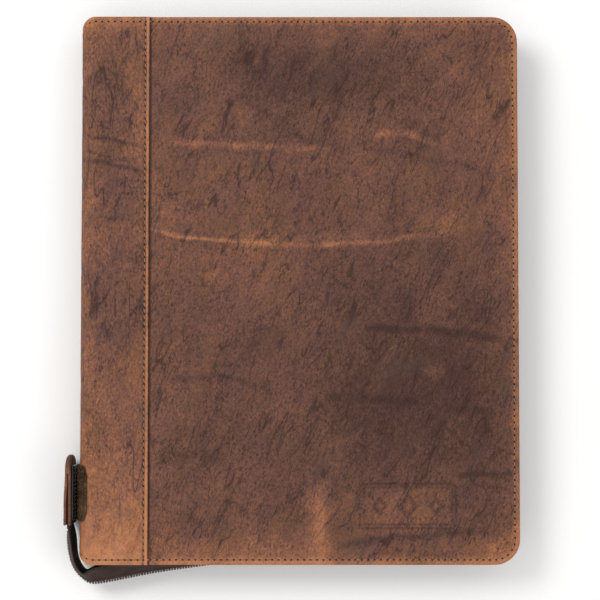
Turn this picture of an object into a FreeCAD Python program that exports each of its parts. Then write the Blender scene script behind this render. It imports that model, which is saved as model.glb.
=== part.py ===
"""Zip-around leather portfolio case, closed and lying on its back cover.

Frame, in millimetres: X from the spine (-) to the open side (+), Y from the bottom edge (-) to the top
edge (+), Z up through the thickness. The origin is the centre of the back cover's outer leather face.

The case is two covers of leather, board and lining, joined by a rounded leather spine that folds at two
creases. An L-shaped zip tape is sewn under the rim of each cover. The closed chain leaves the case at the
bottom, bends round the spine corner and ends in a folded leather tab, held to the spine by a hook pad on a
loop pad. A ring mechanism is riveted to the back cover, and pockets and a pen loop are sewn to the linings.
"""
import FreeCAD, Part
import math
import os

from FreeCAD import Vector

# ---------------------------------------------------------------- driving dimensions (mm)
WIDTH = 276.0                 # spine face to open edge
HEIGHT = 345.0                # bottom edge to top edge
THICK = 31.0                  # between the outer faces of the two cover panels
STRIP_PROUD = 0.6             # how far the spine strip stands proud of the cover panels
OPEN_CORNER_R = 16.0          # plan corners on the open side
SPINE_CORNER_R = 9.0          # plan corners on the spine side
SPINE_ROUND_R = 10.0          # rounding of the spine in cross-section
SEAM_X = -94.5                # edge of the spine strip on each cover
SPLIT_DEG = 65.0              # how far round the strip is divided between spine and cover
SPLIT_GAP_DEG = 0.4           # clearance at that division

LEATHER_T = 1.3
STRIP_T = 1.2
LAP_T = 0.7                   # the panel's skived lap under the strip
HEM_T = 1.0                   # turned edge of the panel leather
HEM_W = 5.2
EDGE_ROUND = 0.7              # rounding of the turned edge
BOARD_T = 1.8
LINING_T = 0.7
TAPE_T = 0.8
SLIP = 0.05                   # clearance between flat parts that lie together
FIT = 0.1                     # clearance round boards, rivets and pads

THREAD_W = 0.9
THREAD_H = 0.4
THREAD_PROUD = 0.05           # how far the thread stands out of the leather
EDGE_STITCH_INSET = 3.2
SEAM_STITCH_INSET = 2.3

SPINE_BOARD_HALF = 6.0        # half the height of the stiffener in the spine
SPINE_BOARD_INSET = 12.0      # from the bottom and top edges
SPINE_LINING_INSET = 10.0
SPINE_LINING_LAP = 1.0        # the lining passes the stiffener by this much on each side

# zip tape, along the case's edge
FLANGE_OUT = 1.2              # the flange's outer edge, inset from the edge of the case
ZIP_START_X = -123.0          # cut ends of the tapes on the top edge
ZIP_SLOPE_X = -107.0          # the tapes' walls are cut to a slope before their ends
FIRST_TOOTH_X = -89.5
BULGE_X = 0.0                 # the chain starts to lean out here on the bottom edge
SEWN_END_X = -60.0            # last stitch in the tape on the bottom edge

TOOTH_PITCH = 3.5
TOOTH_LENGTH = 1.4
TOOTH_THICK = 2.6
TOOTH_HEAD = 1.0              # how far a tooth passes the chain's middle
TOOTH_ROOT = 2.4              # from the chain's middle to the tape's edge
LEAN_CLEARANCE = 0.25         # a tooth's root stops this far short of a leaning tape

STOP_L = 2.2                  # top stops: along the tape, half width across it, and height
STOP_HALF_W = 1.2
STOP_H = 2.6
STOP_BACK_T = 0.6             # the stop's solid back, beyond the tape's edge
BOTTOM_STOP_HALF = (1.3, 1.1, 2.2)

# touch-and-close pads and the end tab
TAB_BOTTOM = -148.0
TAB_TOP = -104.3
TAB_OUT_X = -147.1
TAB_CORNER_R = 11.0
TAB_FLAP_T = 1.7
TAB_SLOT_T = 1.2
TAB_FOLD_H = 10.0             # solid leather above the slot, where the strip turns over
TAB_STITCH_INSET = 2.6
TAB_THREAD_W = 0.8
TAB_THREAD_H = 0.3
PAD_BOTTOM = -145.1
PAD_TOP = -110.6
LOOP_T = 2.2
LOOP_WRAP_DEG = 60.0
HOOK_HALF_W = 12.5

# zip slider and pull
SLIDER_X = -97.9
SLIDER_L = 12.4
SLIDER_HALF_Z = 6.2
SLIDER_TAPER = 1.1            # the tail end is narrower by this much on each side
SLIDER_MOUTH_L = 6.0          # length of the wide part
PLATE_T = 1.2
CHANNEL_GAP = 0.2             # between a tooth and each plate
TAPE_SLOT_GAP = 0.25          # between the tape and each lip
LIP_T = 1.0
POST_L = 4.2                  # wedge that parts the teeth
POST_HALF_W = 1.7
POST_TIP_HALF_W = 0.5
BRIDGE_HALF_W = 1.5
BRIDGE_HALF_L = 5.4
BRIDGE_RISE = 2.9
BRIDGE_BAR_T = 0.95
PIN_R = 0.7
PIN_RISE = 3.5                # pin above the middle of the chain
PULL_T = 1.2
PULL_L = 27.0
PULL_HALF_W = 3.9
PULL_FORK_HALF_W = 1.9        # half the space between the two arms
PULL_FORK_L = 6.2
PULL_EYE_R = 1.6

# ring mechanism
RING_X = -113.0
RING_WIRE_R = 1.2
RING_R = 9.2
RING_RISE = 9.7               # ring centres above the lining
RING_YS = (-120.0, -40.0, 40.0, 120.0)
RING_GAP = 0.04               # between each half and the rings' middle plane
RIVET_Y = 100.0
RIVET_R = 2.0
RIVET_FOOT_R = 4.5
RIVET_FOOT_T = 0.6
RIVET_HEAD_R = 3.6
RIVET_HEAD_T = 1.0
BASE_HALF_L = 137.5
BASE_HALF_W = 11.2
BASE_RISE = 5.4
BASE_FOOT_H = 0.8
BASE_SKIN = 0.7
LEG_SLOT_NEAR = 4.7           # slots for the ring legs, out from the middle plane
LEG_SLOT_FAR = 9.6
LEG_SLOT_HALF_L = 1.8
LEVER_SLOT_HALF_W = 4.2
LEVER_SLOT_L = 7.6
BLADE_PIVOT = 9.2             # from the ring's middle plane to the blade's hinge line
BLADE_RISE = 1.4              # height of both hinge lines above the lining
BLADE_T = 0.8
BLADE_HALF_L = 130.0
LEVER_HALF_W = 3.6
LEVER_PIVOT_Y = 133.5
LEVER_PIVOT_RISE = 3.6        # lever pivots above the lining

# pockets and pen loop
POCKET_T = 1.0
POCKET_RIM = 0.3
POCKET_SEAM_W = 3.0
POCKET_FOOT_GAP = 8.0         # from the bottom edge of the case
POCKET_SIDE_GAP = 11.0        # from the open edge of the case
DOCUMENT_POCKET_TOP = 60.0
PAD_POCKET_TOP = -60.0
CARD_POCKET_X = (12.0, 112.0)
CARD_POCKET_FOOT = -150.0
CARD_POCKET_H = 92.0
CARD_POCKET_STEP = 16.0
PEN_LOOP_X = 118.5
PEN_LOOP_FOOT_Y = 82.0
PEN_LOOP_L = 24.0
PEN_LOOP_R = 5.2
PEN_LOOP_FOOT_HALF = 8.0
ELASTIC_T = 0.9

# ---------------------------------------------------------------- places worked out from them
LEFT = -WIDTH / 2
RIGHT = WIDTH / 2
TOP = HEIGHT / 2
BOTTOM = -HEIGHT / 2
MID_Z = THICK / 2
STRIP_Z = -STRIP_PROUD                          # outer face of the strip on the back cover
ARC_X = LEFT + SPINE_ROUND_R                    # centre of the spine's back rounding
ARC_Z = STRIP_Z + SPINE_ROUND_R
PANEL_LEFT = ARC_X + 1.0
BOARD_LEFT = ARC_X + 3.0
BOARD_Z = LEATHER_T
LINING_Z = BOARD_Z + BOARD_T
INSIDE_Z = LINING_Z + LINING_T                  # the back cover's inner face
TAPE_Z = LEATHER_T + HEM_T                      # the zip tape's flange lies under the turned hem
WALL_OUT = HEM_W - TAPE_T                       # the zip wall's outer face, inset from the edge
WALL_MID = HEM_W - TAPE_T / 2
LINING_INSET = HEM_W + FIT                      # board and lining start inside the zip wall
BOARD_INSET = LINING_INSET + FIT
SPINE_IN_X = LEFT + STRIP_T + SLIP              # outer face of the spine's stiffener

SLIDER_Y = TOP - WALL_MID
CHANNEL_HALF = TOOTH_THICK / 2 + CHANNEL_GAP
PIN_X = SLIDER_X - 0.6
PIN_Y = SLIDER_Y + PIN_RISE
RING_Z = INSIDE_Z + RING_RISE
BLADE_Z = INSIDE_Z + BLADE_RISE
LEVER_PIVOT_Z = INSIDE_Z + LEVER_PIVOT_RISE
CROWN_Z = INSIDE_Z + BASE_FOOT_H + BASE_RISE    # top of the ring mechanism's cover plate

TAB_TAPE_X = TAB_OUT_X + TAB_FLAP_T + TAB_SLOT_T / 2
TAB_IN_X = TAB_OUT_X + 2 * TAB_FLAP_T + TAB_SLOT_T
CHAIN_Y = BOTTOM + WALL_MID
SEWN_Z = THICK - TAPE_Z - TAPE_T - 0.25         # the leaning tape stands just clear of the flange
LAST_TOOTH_STATION = 8.05
BOTTOM_STOP_STATION = 8.5
SPLIT_STATION = 4             # the tail belongs to the covers before this station and to the spine after it

# The zip's run to the tab, station by station: the chain's middle, then the free edge of each tape.
RIDGE = [
    (BULGE_X, CHAIN_Y), (-30, -169.7), (-60, -173.4), (-95, -178.6), (-125, -184.4),
    (-135.2, -182.6), (-142.0, -174.9), (-145.4, -162.5), (-145.8, -153.5), (TAB_TAPE_X, TAB_BOTTOM),
]
FRONT_EDGE = [
    (BULGE_X, CHAIN_Y, SEWN_Z), (-30, CHAIN_Y, SEWN_Z), (-60, CHAIN_Y, SEWN_Z), (-95, -169.4, 26.9),
    (-126.3, -174.2, 25.6), (-135.2, -178.2, 28.2), (-140.0, -171.9, 29.0), (-142.1, -163.0, 29.4),
    (-143.3, -154.5, 29.8), (TAB_TAPE_X, TAB_BOTTOM, THICK - 1),
]
BACK_EDGE = [
    (BULGE_X, CHAIN_Y, THICK - SEWN_Z), (-30, CHAIN_Y, THICK - SEWN_Z), (-60, CHAIN_Y, THICK - SEWN_Z),
    (-95, -169.4, 4.1), (-126.3, -173.8, 5.4), (-135.4, -177.6, 3.2), (-140.2, -171.3, 2.3),
    (-141.8, -162.4, 1.8), (-142.8, -154.2, 1.4), (TAB_TAPE_X, TAB_BOTTOM, 1.0),
]

TOUCH = 0.01                  # points closer than this count as one
PAST = 1.0                    # how far a cutting solid passes the material it cuts


def save(name, shape):
    """Writes one node's solids to parts/NAME.step."""
    solids = shape.Solids
    if not solids or not all(s.isValid() for s in solids):
        raise ValueError(name + " is not made of valid solids")
    Part.makeCompound(solids).exportStep("parts/" + name + ".step")


def box(x0, x1, y0, y1, z0, z1):
    return Part.makeBox(x1 - x0, y1 - y0, z1 - z0, Vector(x0, y0, z0))


def to_front(shape):
    """Mirrors a back-cover shape to the front cover."""
    return shape.mirror(Vector(0, 0, MID_Z), Vector(0, 0, 1))


def union(shapes):
    first, *rest = shapes
    return first.multiFuse(rest).removeSplitter() if rest else first


def outline(inset, left=LEFT, left_r=SPINE_CORNER_R):
    """Plan outline of the case, inset by a distance; its left side and left corner radius can be changed."""
    x0, q = left, 0.0
    if left == LEFT:
        x0, q = left + inset, max(left_r - inset, 0.0)
    x1, y0, y1 = RIGHT - inset, BOTTOM + inset, TOP - inset
    r = OPEN_CORNER_R - inset
    diagonal = math.sqrt(0.5)

    def corner(cx, cy, radius, sx, sy, start, end):
        if radius <= 0:
            return []
        middle = Vector(cx + sx * diagonal * radius, cy + sy * diagonal * radius, 0)
        return [Part.Arc(start, middle, end).toShape()]

    a, b = Vector(x0 + q, y0, 0), Vector(x1 - r, y0, 0)
    c, d = Vector(x1, y0 + r, 0), Vector(x1, y1 - r, 0)
    e, f = Vector(x1 - r, y1, 0), Vector(x0 + q, y1, 0)
    g, h = Vector(x0, y1 - q, 0), Vector(x0, y0 + q, 0)
    edges = [Part.makeLine(a, b)]
    edges += corner(x1 - r, y0 + r, r, 1, -1, b, c)
    edges.append(Part.makeLine(c, d))
    edges += corner(x1 - r, y1 - r, r, 1, 1, d, e)
    edges.append(Part.makeLine(e, f))
    edges += corner(x0 + q, y1 - q, q, -1, 1, f, g)
    edges.append(Part.makeLine(g, h))
    edges += corner(x0 + q, y0 + q, q, -1, -1, h, a)
    return Part.Face(Part.Wire(edges))


def slab(inset, z0, z1, left=LEFT):
    face = outline(inset, left)
    face.translate(Vector(0, 0, z0))
    return face.extrude(Vector(0, 0, z1 - z0))


def rim(outer, inner, z0, z1, x_from, bottom_from=None):
    """U-shaped band round the three open sides, between two insets, from x_from rightwards."""
    ring = slab(outer, z0, z1).cut(slab(inner, z0 - PAST, z1 + PAST))
    ring = ring.common(box(x_from, RIGHT + PAST, BOTTOM - PAST, TOP + PAST, z0 - PAST, z1 + PAST))
    if bottom_from is not None:
        ring = ring.cut(box(LEFT, bottom_from, BOTTOM - PAST, 0, z0 - PAST, z1 + PAST))
    return ring


# ---------------------------------------------------------------- covers
def thread_path(z0, z1, x_from, x_to):
    """Edge stitching between two x positions, as a flat cord."""
    half = THREAD_W / 2
    cord = rim(EDGE_STITCH_INSET - half, EDGE_STITCH_INSET + half, z0, z1, x_from)
    return cord.common(box(x_from, x_to, BOTTOM, TOP, z0, z1))


def edge_thread():
    """The back cover's edge stitching: lower over the panel, higher over the strip, in one piece."""
    panel_out, panel_in = -THREAD_PROUD, THREAD_H - THREAD_PROUD
    strip_out, strip_in = STRIP_Z + panel_out, STRIP_Z + panel_in
    step_left, step_right = SEAM_X - STRIP_PROUD, SEAM_X + 0.2
    panel = thread_path(panel_out, panel_in, step_left, RIGHT)
    strip = thread_path(strip_out, strip_in, PANEL_LEFT, SEAM_X - 0.2)
    step = thread_path(strip_out, panel_in, step_left, step_right)
    return union([panel, strip, step])


def seam_thread():
    x = SEAM_X - SEAM_STITCH_INSET
    half = THREAD_W / 2
    end = TOP - EDGE_STITCH_INSET - THREAD_W
    outer = STRIP_Z - THREAD_PROUD
    return box(x - half, x + half, -end, end, outer, outer + THREAD_H)


def thread_channel():
    """Space that the threads need in the leather."""
    return union([edge_thread(), seam_thread()])


def turned_edges(panel):
    """Edges of a panel's two faces that lie on the outline of the case."""
    outer = outline(0, PANEL_LEFT).OuterWire
    edges = []
    for edge in panel.Edges:
        middle = edge.valueAt((edge.FirstParameter + edge.LastParameter) / 2)
        level = edge.BoundBox.ZLength < TOUCH and (abs(middle.z) < TOUCH or abs(middle.z - TAPE_Z) < TOUCH)
        below = Part.Vertex(middle.x, middle.y, 0)
        on_outline = below.distToShape(outer)[0] < TOUCH and edge.BoundBox.XMax > PANEL_LEFT + PAST
        if level and on_outline:
            edges.append(edge)
    return edges


def cover_panel():
    """Outer leather of the back cover with its turned hem; it thins to a lap under the spine strip."""
    sheet = slab(0, 0, LEATHER_T, PANEL_LEFT)
    hem = rim(0, HEM_W, LEATHER_T, TAPE_Z, PANEL_LEFT)
    panel = union([sheet, hem])
    panel = panel.makeFillet(EDGE_ROUND, turned_edges(panel))
    lap_end = SEAM_X + 3 * SLIP
    lap_relief = box(LEFT, lap_end, BOTTOM - PAST, TOP + PAST, -PAST, LEATHER_T - LAP_T)
    return panel.cut(lap_relief).cut(thread_channel())


def arc_point(radius, deg):
    """Point on the spine's back rounding; 0 degrees faces the spine side, 90 degrees faces down."""
    a = math.radians(deg)
    return Vector(ARC_X - radius * math.cos(a), 0, ARC_Z - radius * math.sin(a))


def arc_between(radius, deg0, deg1):
    middle = arc_point(radius, (deg0 + deg1) / 2)
    return Part.Arc(arc_point(radius, deg0), middle, arc_point(radius, deg1)).toShape()


def swept_along_y(edges, y0, y1):
    face = Part.Face(Part.Wire(edges))
    face.translate(Vector(0, y0, 0))
    return face.extrude(Vector(0, y1 - y0, 0))


def cover_strip():
    """The part of the spine strip sewn to the back cover, with its folded edge at the seam."""
    r, s = SPINE_ROUND_R, SPINE_ROUND_R - STRIP_T
    start_deg = SPLIT_DEG + SPLIT_GAP_DEG
    fold = STRIP_T / 2
    seam_low = Vector(SEAM_X - fold, 0, STRIP_Z)
    seam_high = Vector(SEAM_X - fold, 0, STRIP_Z + STRIP_T)
    edges = [
        arc_between(r, start_deg, 90),
        Part.makeLine(arc_point(r, 90), seam_low),
        Part.Arc(seam_low, Vector(SEAM_X, 0, STRIP_Z + fold), seam_high).toShape(),
        Part.makeLine(seam_high, arc_point(s, 90)),
        arc_between(s, 90, start_deg),
        Part.makeLine(arc_point(s, start_deg), arc_point(r, start_deg)),
    ]
    strip = swept_along_y(edges, BOTTOM, TOP).common(slab(0, STRIP_Z - PAST, THICK))
    return strip.cut(thread_channel())


def rivet_holes(radius, z0, z1):
    """Cylinders that cut the two rivet holes."""
    return [Part.makeCylinder(radius, z1 - z0, Vector(RING_X, y, z0)) for y in (-RIVET_Y, RIVET_Y)]


def cover_board(holes):
    board = slab(BOARD_INSET, BOARD_Z, LINING_Z, BOARD_LEFT)
    return board.cut(holes) if holes else board


def cover_lining(holes):
    lining = slab(LINING_INSET, LINING_Z, INSIDE_Z, BOARD_LEFT)
    return lining.cut(holes) if holes else lining


# ---------------------------------------------------------------- spine
def wrapped_sheet(outer_r, inner_r, wrap_deg, y0, y1):
    """Sheet over the spine's flat face and both roundings, as far round as wrap_deg."""
    outer, inner = arc_between(outer_r, wrap_deg, 0), arc_between(inner_r, wrap_deg, 0)
    end = Part.makeLine(arc_point(inner_r, wrap_deg), arc_point(outer_r, wrap_deg))
    flats = [Part.makeLine(Vector(ARC_X - r, 0, ARC_Z), Vector(ARC_X - r, 0, THICK - ARC_Z))
             for r in (outer_r, inner_r)]
    edges = [outer, inner, end, to_front(outer), to_front(inner), to_front(end)] + flats
    return swept_along_y(Part.__sortEdges__(edges), y0, y1)


def spine_leather():
    """Middle of the spine strip: a flat face and most of the two roundings."""
    sheet = wrapped_sheet(SPINE_ROUND_R, SPINE_ROUND_R - STRIP_T, SPLIT_DEG, BOTTOM, TOP)
    return sheet.common(slab(0, STRIP_Z - PAST, THICK + STRIP_PROUD + PAST))


def spine_board():
    half = SPINE_BOARD_HALF
    y0, y1 = BOTTOM + SPINE_BOARD_INSET, TOP - SPINE_BOARD_INSET
    return box(SPINE_IN_X, SPINE_IN_X + BOARD_T, y0, y1, MID_Z - half, MID_Z + half)


def spine_lining():
    x0 = SPINE_IN_X + BOARD_T
    half = SPINE_BOARD_HALF + SPINE_LINING_LAP
    y0, y1 = BOTTOM + SPINE_LINING_INSET, TOP - SPINE_LINING_INSET
    return box(x0, x0 + LINING_T, y0, y1, MID_Z - half, MID_Z + half)


# ---------------------------------------------------------------- closure pads and end tab
def loop_pad():
    """Soft half of the touch-and-close pad, wrapped over the roundings of the spine."""
    return wrapped_sheet(SPINE_ROUND_R + LOOP_T, SPINE_ROUND_R, LOOP_WRAP_DEG, PAD_BOTTOM, PAD_TOP)


def tab_plan(inset, x0, x1):
    """Tab-shaped plate in the YZ plane with a rounded upper end."""
    y0, y1 = TAB_BOTTOM + inset, TAB_TOP - inset
    z0, z1 = inset, THICK - inset
    plate = box(x0, x1, y0, y1, z0, z1)
    corners = [e for e in plate.Edges if e.BoundBox.XLength > TOUCH and e.BoundBox.YMax > y1 - TOUCH]
    return plate.makeFillet(TAB_CORNER_R - inset, corners)


def tab_leather():
    """One strip of leather folded over the end of the tape; the fold is at the top."""
    body = tab_plan(0, TAB_OUT_X, TAB_IN_X)
    x0 = TAB_OUT_X + TAB_FLAP_T
    slot = box(x0, x0 + TAB_SLOT_T, TAB_BOTTOM - PAST, TAB_TOP - TAB_FOLD_H, -PAST, THICK + PAST)
    return body.cut(slot)


def hook_pad():
    x1 = LEFT - LOOP_T - FIT
    return box(TAB_IN_X, x1, PAD_BOTTOM, PAD_TOP, MID_Z - HOOK_HALF_W, MID_Z + HOOK_HALF_W)


def tab_thread():
    """Stitching round the outer flap of the tab."""
    half = TAB_THREAD_W / 2
    x0 = TAB_OUT_X - TAB_THREAD_H
    outer = tab_plan(TAB_STITCH_INSET - half, x0, TAB_OUT_X)
    inner = tab_plan(TAB_STITCH_INSET + half, x0 - PAST, TAB_OUT_X + PAST)
    return outer.cut(inner)


def tail_end():
    """The end of the tape, held between the flaps of the tab."""
    x0 = TAB_TAPE_X - TAPE_T / 2
    y1 = TAB_TOP - TAB_FOLD_H - PAST
    return box(x0, x0 + TAPE_T, TAB_BOTTOM + TAPE_T / 2, y1, PAST, THICK - PAST)


# ---------------------------------------------------------------- zip tape
def curve_through(points):
    """Smooth curve whose parameter is the station number."""
    curve = Part.BSplineCurve()
    stations = [float(i) for i in range(len(points))]
    curve.interpolate(Points=[Vector(*p) for p in points], Parameters=stations)
    return curve


ridge_curve = curve_through([(x, y, MID_Z) for x, y in RIDGE])
front_curve = curve_through(FRONT_EDGE)
back_curve = curve_through(BACK_EDGE)


def tape_section(edge_curve, u):
    """Cross-section of half the tape at station u, from beside the teeth to its free edge."""
    ridge, edge = ridge_curve.value(u), edge_curve.value(u)
    across = (edge - ridge).normalize()
    along = Vector(*ridge_curve.tangent(u)[0])
    normal = along.cross(across).normalize() * (TAPE_T / 2)
    start = ridge + across * TOOTH_ROOT
    corners = [start - normal, edge - normal, edge + normal, start + normal]
    return Part.makePolygon(corners + corners[:1])


def tape_loft(edge_curve, u0, u1, count):
    sections = [tape_section(edge_curve, u0 + (u1 - u0) * i / (count - 1)) for i in range(count)]
    return Part.makeLoft(sections, True, False)


def tape_half():
    """The back cover's zip tape: flange under the hem, upright wall, and the part that leans to the tail."""
    flange = rim(FLANGE_OUT, HEM_W, TAPE_Z, TAPE_Z + TAPE_T, ZIP_START_X, SEWN_END_X)
    wall = rim(WALL_OUT, HEM_W, TAPE_Z, MID_Z - TOOTH_ROOT, ZIP_START_X, BULGE_X)
    low, high = TAPE_Z + TAPE_T + 0.5, MID_Z - TOOTH_ROOT
    inside_y = TOP - OPEN_CORNER_R
    profile = [(ZIP_START_X - PAST, low), (ZIP_START_X, low), (ZIP_SLOPE_X, high), (ZIP_SLOPE_X, THICK),
               (ZIP_START_X - PAST, THICK)]
    slope = [Vector(x, inside_y, z) for x, z in profile + profile[:1]]
    wall = wall.cut(Part.Face(Part.makePolygon(slope)).extrude(Vector(0, OPEN_CORNER_R, 0)))
    lean = tape_loft(back_curve, TOUCH, SPLIT_STATION, 13)
    return Part.makeCompound([union([flange, wall]), lean])


def tail_tape():
    """Both halves of the tape round the spine corner, as two solids."""
    start = SPLIT_STATION + 2 * TOUCH
    end = len(RIDGE) - 1 - 2 * TOUCH
    return Part.makeCompound([tape_loft(curve, start, end, 16) for curve in (front_curve, back_curve)])


# ---------------------------------------------------------------- zip teeth
def chain_wire():
    """Middle line of the closed chain, from the first tooth on the top edge to the tab."""
    r = OPEN_CORNER_R - WALL_MID
    y, x = TOP - WALL_MID, RIGHT - WALL_MID
    k = r * (1 - math.sqrt(0.5))

    def at(px, py):
        return Vector(px, py, MID_Z)

    return Part.Wire([
        Part.makeLine(at(FIRST_TOOTH_X, y), at(x - r, y)),
        Part.Arc(at(x - r, y), at(x - k, y - k), at(x, y - r)).toShape(),
        Part.makeLine(at(x, y - r), at(x, r - y)),
        Part.Arc(at(x, r - y), at(x - k, k - y), at(x - r, -y)).toShape(),
        Part.makeLine(at(x - r, -y), at(BULGE_X, -y)),
        ridge_curve.toShape(0, LAST_TOOTH_STATION),
    ])


def tooth(point, along, across, root):
    """One moulded tooth: its head passes the chain's middle, and its root meets the tape's edge."""
    normal = along.cross(across).normalize()
    along = across.cross(normal).normalize()
    half_l, half_t = TOOTH_LENGTH / 2, TOOTH_THICK / 2
    base = point - across * TOOTH_HEAD
    corners = [base + along * a + normal * n for a, n in
               ((-half_l, -half_t), (half_l, -half_t), (half_l, half_t), (-half_l, half_t))]
    face = Part.Face(Part.makePolygon(corners + corners[:1]))
    return face.extrude(across * (TOOTH_HEAD + root))


def zip_teeth():
    """Teeth in turn on the front and back tapes, sorted into front, back and tail groups."""
    points = chain_wire().discretize(Distance=TOOTH_PITCH / 2)
    groups = {"front": [], "back": [], "tail": []}
    for i in range(len(points) - 1):
        point = points[i]
        on_front = i % 2 == 0
        along = (points[i + 1] - points[max(i - 1, 0)]).normalize()
        across = Vector(0, 0, 1 if on_front else -1)
        group = "front" if on_front else "back"
        root = TOOTH_ROOT
        if point.y < 0 and point.x < BULGE_X + TOOTH_PITCH:
            root -= LEAN_CLEARANCE
        if point.y < 0 and point.x < BULGE_X:
            u = ridge_curve.parameter(point)
            edge = (front_curve if on_front else back_curve).value(u)
            across = (edge - point).normalize()
            if u > SPLIT_STATION + 0.06:
                group = "tail"
            elif u > SPLIT_STATION - 0.06:
                continue
        groups[group].append(tooth(point, along, across, root))
    return groups


def top_stop():
    """Stop clamped on the back tape's edge, beyond the first tooth."""
    x, y = ZIP_SLOPE_X + 0.4, TOP - WALL_MID
    z1 = MID_Z - TOOTH_ROOT
    z0 = z1 - STOP_H
    body = box(x, x + STOP_L, y - STOP_HALF_W, y + STOP_HALF_W, z0, z1 + STOP_BACK_T)
    return body.cut(box(x - PAST, x + STOP_L + PAST, y - TAPE_T / 2, y + TAPE_T / 2, z0 - PAST, z1))


def bottom_stop():
    """Crimp across both tapes where the chain ends, just below the tab."""
    point = ridge_curve.value(BOTTOM_STOP_STATION)
    a, b, c = BOTTOM_STOP_HALF
    return box(point.x - a, point.x + a, point.y - b, point.y + b, MID_Z - c, MID_Z + c)


# ---------------------------------------------------------------- slider and pull
def prism(points, direction):
    """Solid from a closed polygon, pushed along one direction."""
    return Part.Face(Part.makePolygon(points + points[:1])).extrude(direction)


def slider_plate(y0, y1):
    """Plate of the slider, wide at the mouth end and narrower at the tail end."""
    x0, x1 = SLIDER_X - SLIDER_L / 2, SLIDER_X + SLIDER_L / 2
    wide, narrow = SLIDER_HALF_Z, SLIDER_HALF_Z - SLIDER_TAPER
    half = [(x0, wide - 2.5), (x0 + 1.5, wide), (x0 + SLIDER_MOUTH_L, wide),
            (x1 - 1, narrow), (x1, narrow - 1)]
    profile = half + [(x, -z) for x, z in reversed(half)]
    return prism([Vector(x, y0, MID_Z + z) for x, z in profile], Vector(0, y1 - y0, 0))


def slider_lips():
    """Four lips that keep the teeth between the plates and leave a slot for the tape."""
    slot = TAPE_T / 2 + TAPE_SLOT_GAP
    inner = CHANNEL_HALF + FIT
    x0, x1 = SLIDER_X - 4.5, SLIDER_X + 5.2
    far = SLIDER_HALF_Z - SLIDER_TAPER
    lips = []
    for y0, y1 in ((slot, inner), (-inner, -slot)):
        lips.append(box(x0, x1, SLIDER_Y + y0, SLIDER_Y + y1, MID_Z + far - LIP_T, MID_Z + far))
        lips.append(box(x0, x1, SLIDER_Y + y0, SLIDER_Y + y1, MID_Z - far, MID_Z - far + LIP_T))
    return lips


def zip_slider():
    """Two plates joined by a wedge that parts the teeth, with the pull's bridge on the outer plate."""
    inner, outer = CHANNEL_HALF, CHANNEL_HALF + PLATE_T
    top_plate = slider_plate(SLIDER_Y + inner, SLIDER_Y + outer)
    under_plate = slider_plate(SLIDER_Y - outer, SLIDER_Y - inner)
    x0 = SLIDER_X - SLIDER_L / 2 + 0.8
    y0 = SLIDER_Y - inner - FIT
    x1 = x0 + POST_L
    profile = [(x0, -POST_HALF_W), (x0, POST_HALF_W), (x1, POST_TIP_HALF_W), (x1, -POST_TIP_HALF_W)]
    post = prism([Vector(x, y0, MID_Z + z) for x, z in profile], Vector(0, 2 * (inner + FIT), 0))
    return union([top_plate, under_plate, post, bridge(SLIDER_Y + outer - FIT)] + slider_lips())


def bridge(y):
    """Loop on the slider's outer plate that holds the pull."""
    x0, x1 = PIN_X - BRIDGE_HALF_L, PIN_X + BRIDGE_HALF_L
    z0, z1 = MID_Z - BRIDGE_HALF_W, MID_Z + BRIDGE_HALF_W
    top = y + BRIDGE_RISE
    profile = [(x0, y), (x0 + 0.6, top - 0.5), (x0 + 2.0, top),
               (x1 - 2.0, top), (x1 - 0.6, top - 0.5), (x1, y)]
    solid = prism([Vector(x, py, z0) for x, py in profile], Vector(0, 0, 2 * BRIDGE_HALF_W))
    foot_l = 1.7
    return solid.cut(box(x0 + foot_l, x1 - foot_l, y + SLIP, top - BRIDGE_BAR_T, z0 - PAST, z1 + PAST))


def zip_pull():
    """Pull: a cross pin under the bridge, two arms beside it and a plain blade with a rounded end."""
    pin = Part.makeCylinder(PIN_R, 2 * PULL_HALF_W, Vector(PIN_X, PIN_Y, MID_Z - PULL_HALF_W))
    y0, y1 = PIN_Y - PULL_T / 2, PIN_Y + PULL_T / 2
    tip_x = PIN_X - PULL_L
    blade = box(tip_x, PIN_X - PULL_FORK_L, y0, y1, MID_Z - PULL_HALF_W, MID_Z + PULL_HALF_W)
    ends = [e for e in blade.Edges if e.BoundBox.YLength > PULL_T / 2 and e.BoundBox.XMax < tip_x + TOUCH]
    blade = blade.makeFillet(3.0, ends)
    arms = [box(PIN_X - PULL_FORK_L - 1.3, PIN_X, y0, y1, MID_Z + z0, MID_Z + z1)
            for z0, z1 in ((-PULL_HALF_W, -PULL_FORK_HALF_W), (PULL_FORK_HALF_W, PULL_HALF_W))]
    eye = Part.makeCylinder(PULL_EYE_R, 4, Vector(tip_x + 5, PIN_Y - 2, MID_Z), Vector(0, 1, 0))
    return union([pin, blade] + arms).cut(eye)


# ---------------------------------------------------------------- ring mechanism
def arch(half_w, rise, foot_z):
    """Arched outline in XZ: two short feet and a circular crown."""
    z = INSIDE_Z + BASE_FOOT_H
    left, right = Vector(RING_X - half_w, 0, z), Vector(RING_X + half_w, 0, z)
    left_foot, right_foot = Vector(left.x, 0, foot_z), Vector(right.x, 0, foot_z)
    crown = Part.Arc(left, Vector(RING_X, 0, z + rise), right).toShape()
    return [crown, Part.makeLine(right, right_foot), Part.makeLine(right_foot, left_foot),
            Part.makeLine(left_foot, left)]


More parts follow.
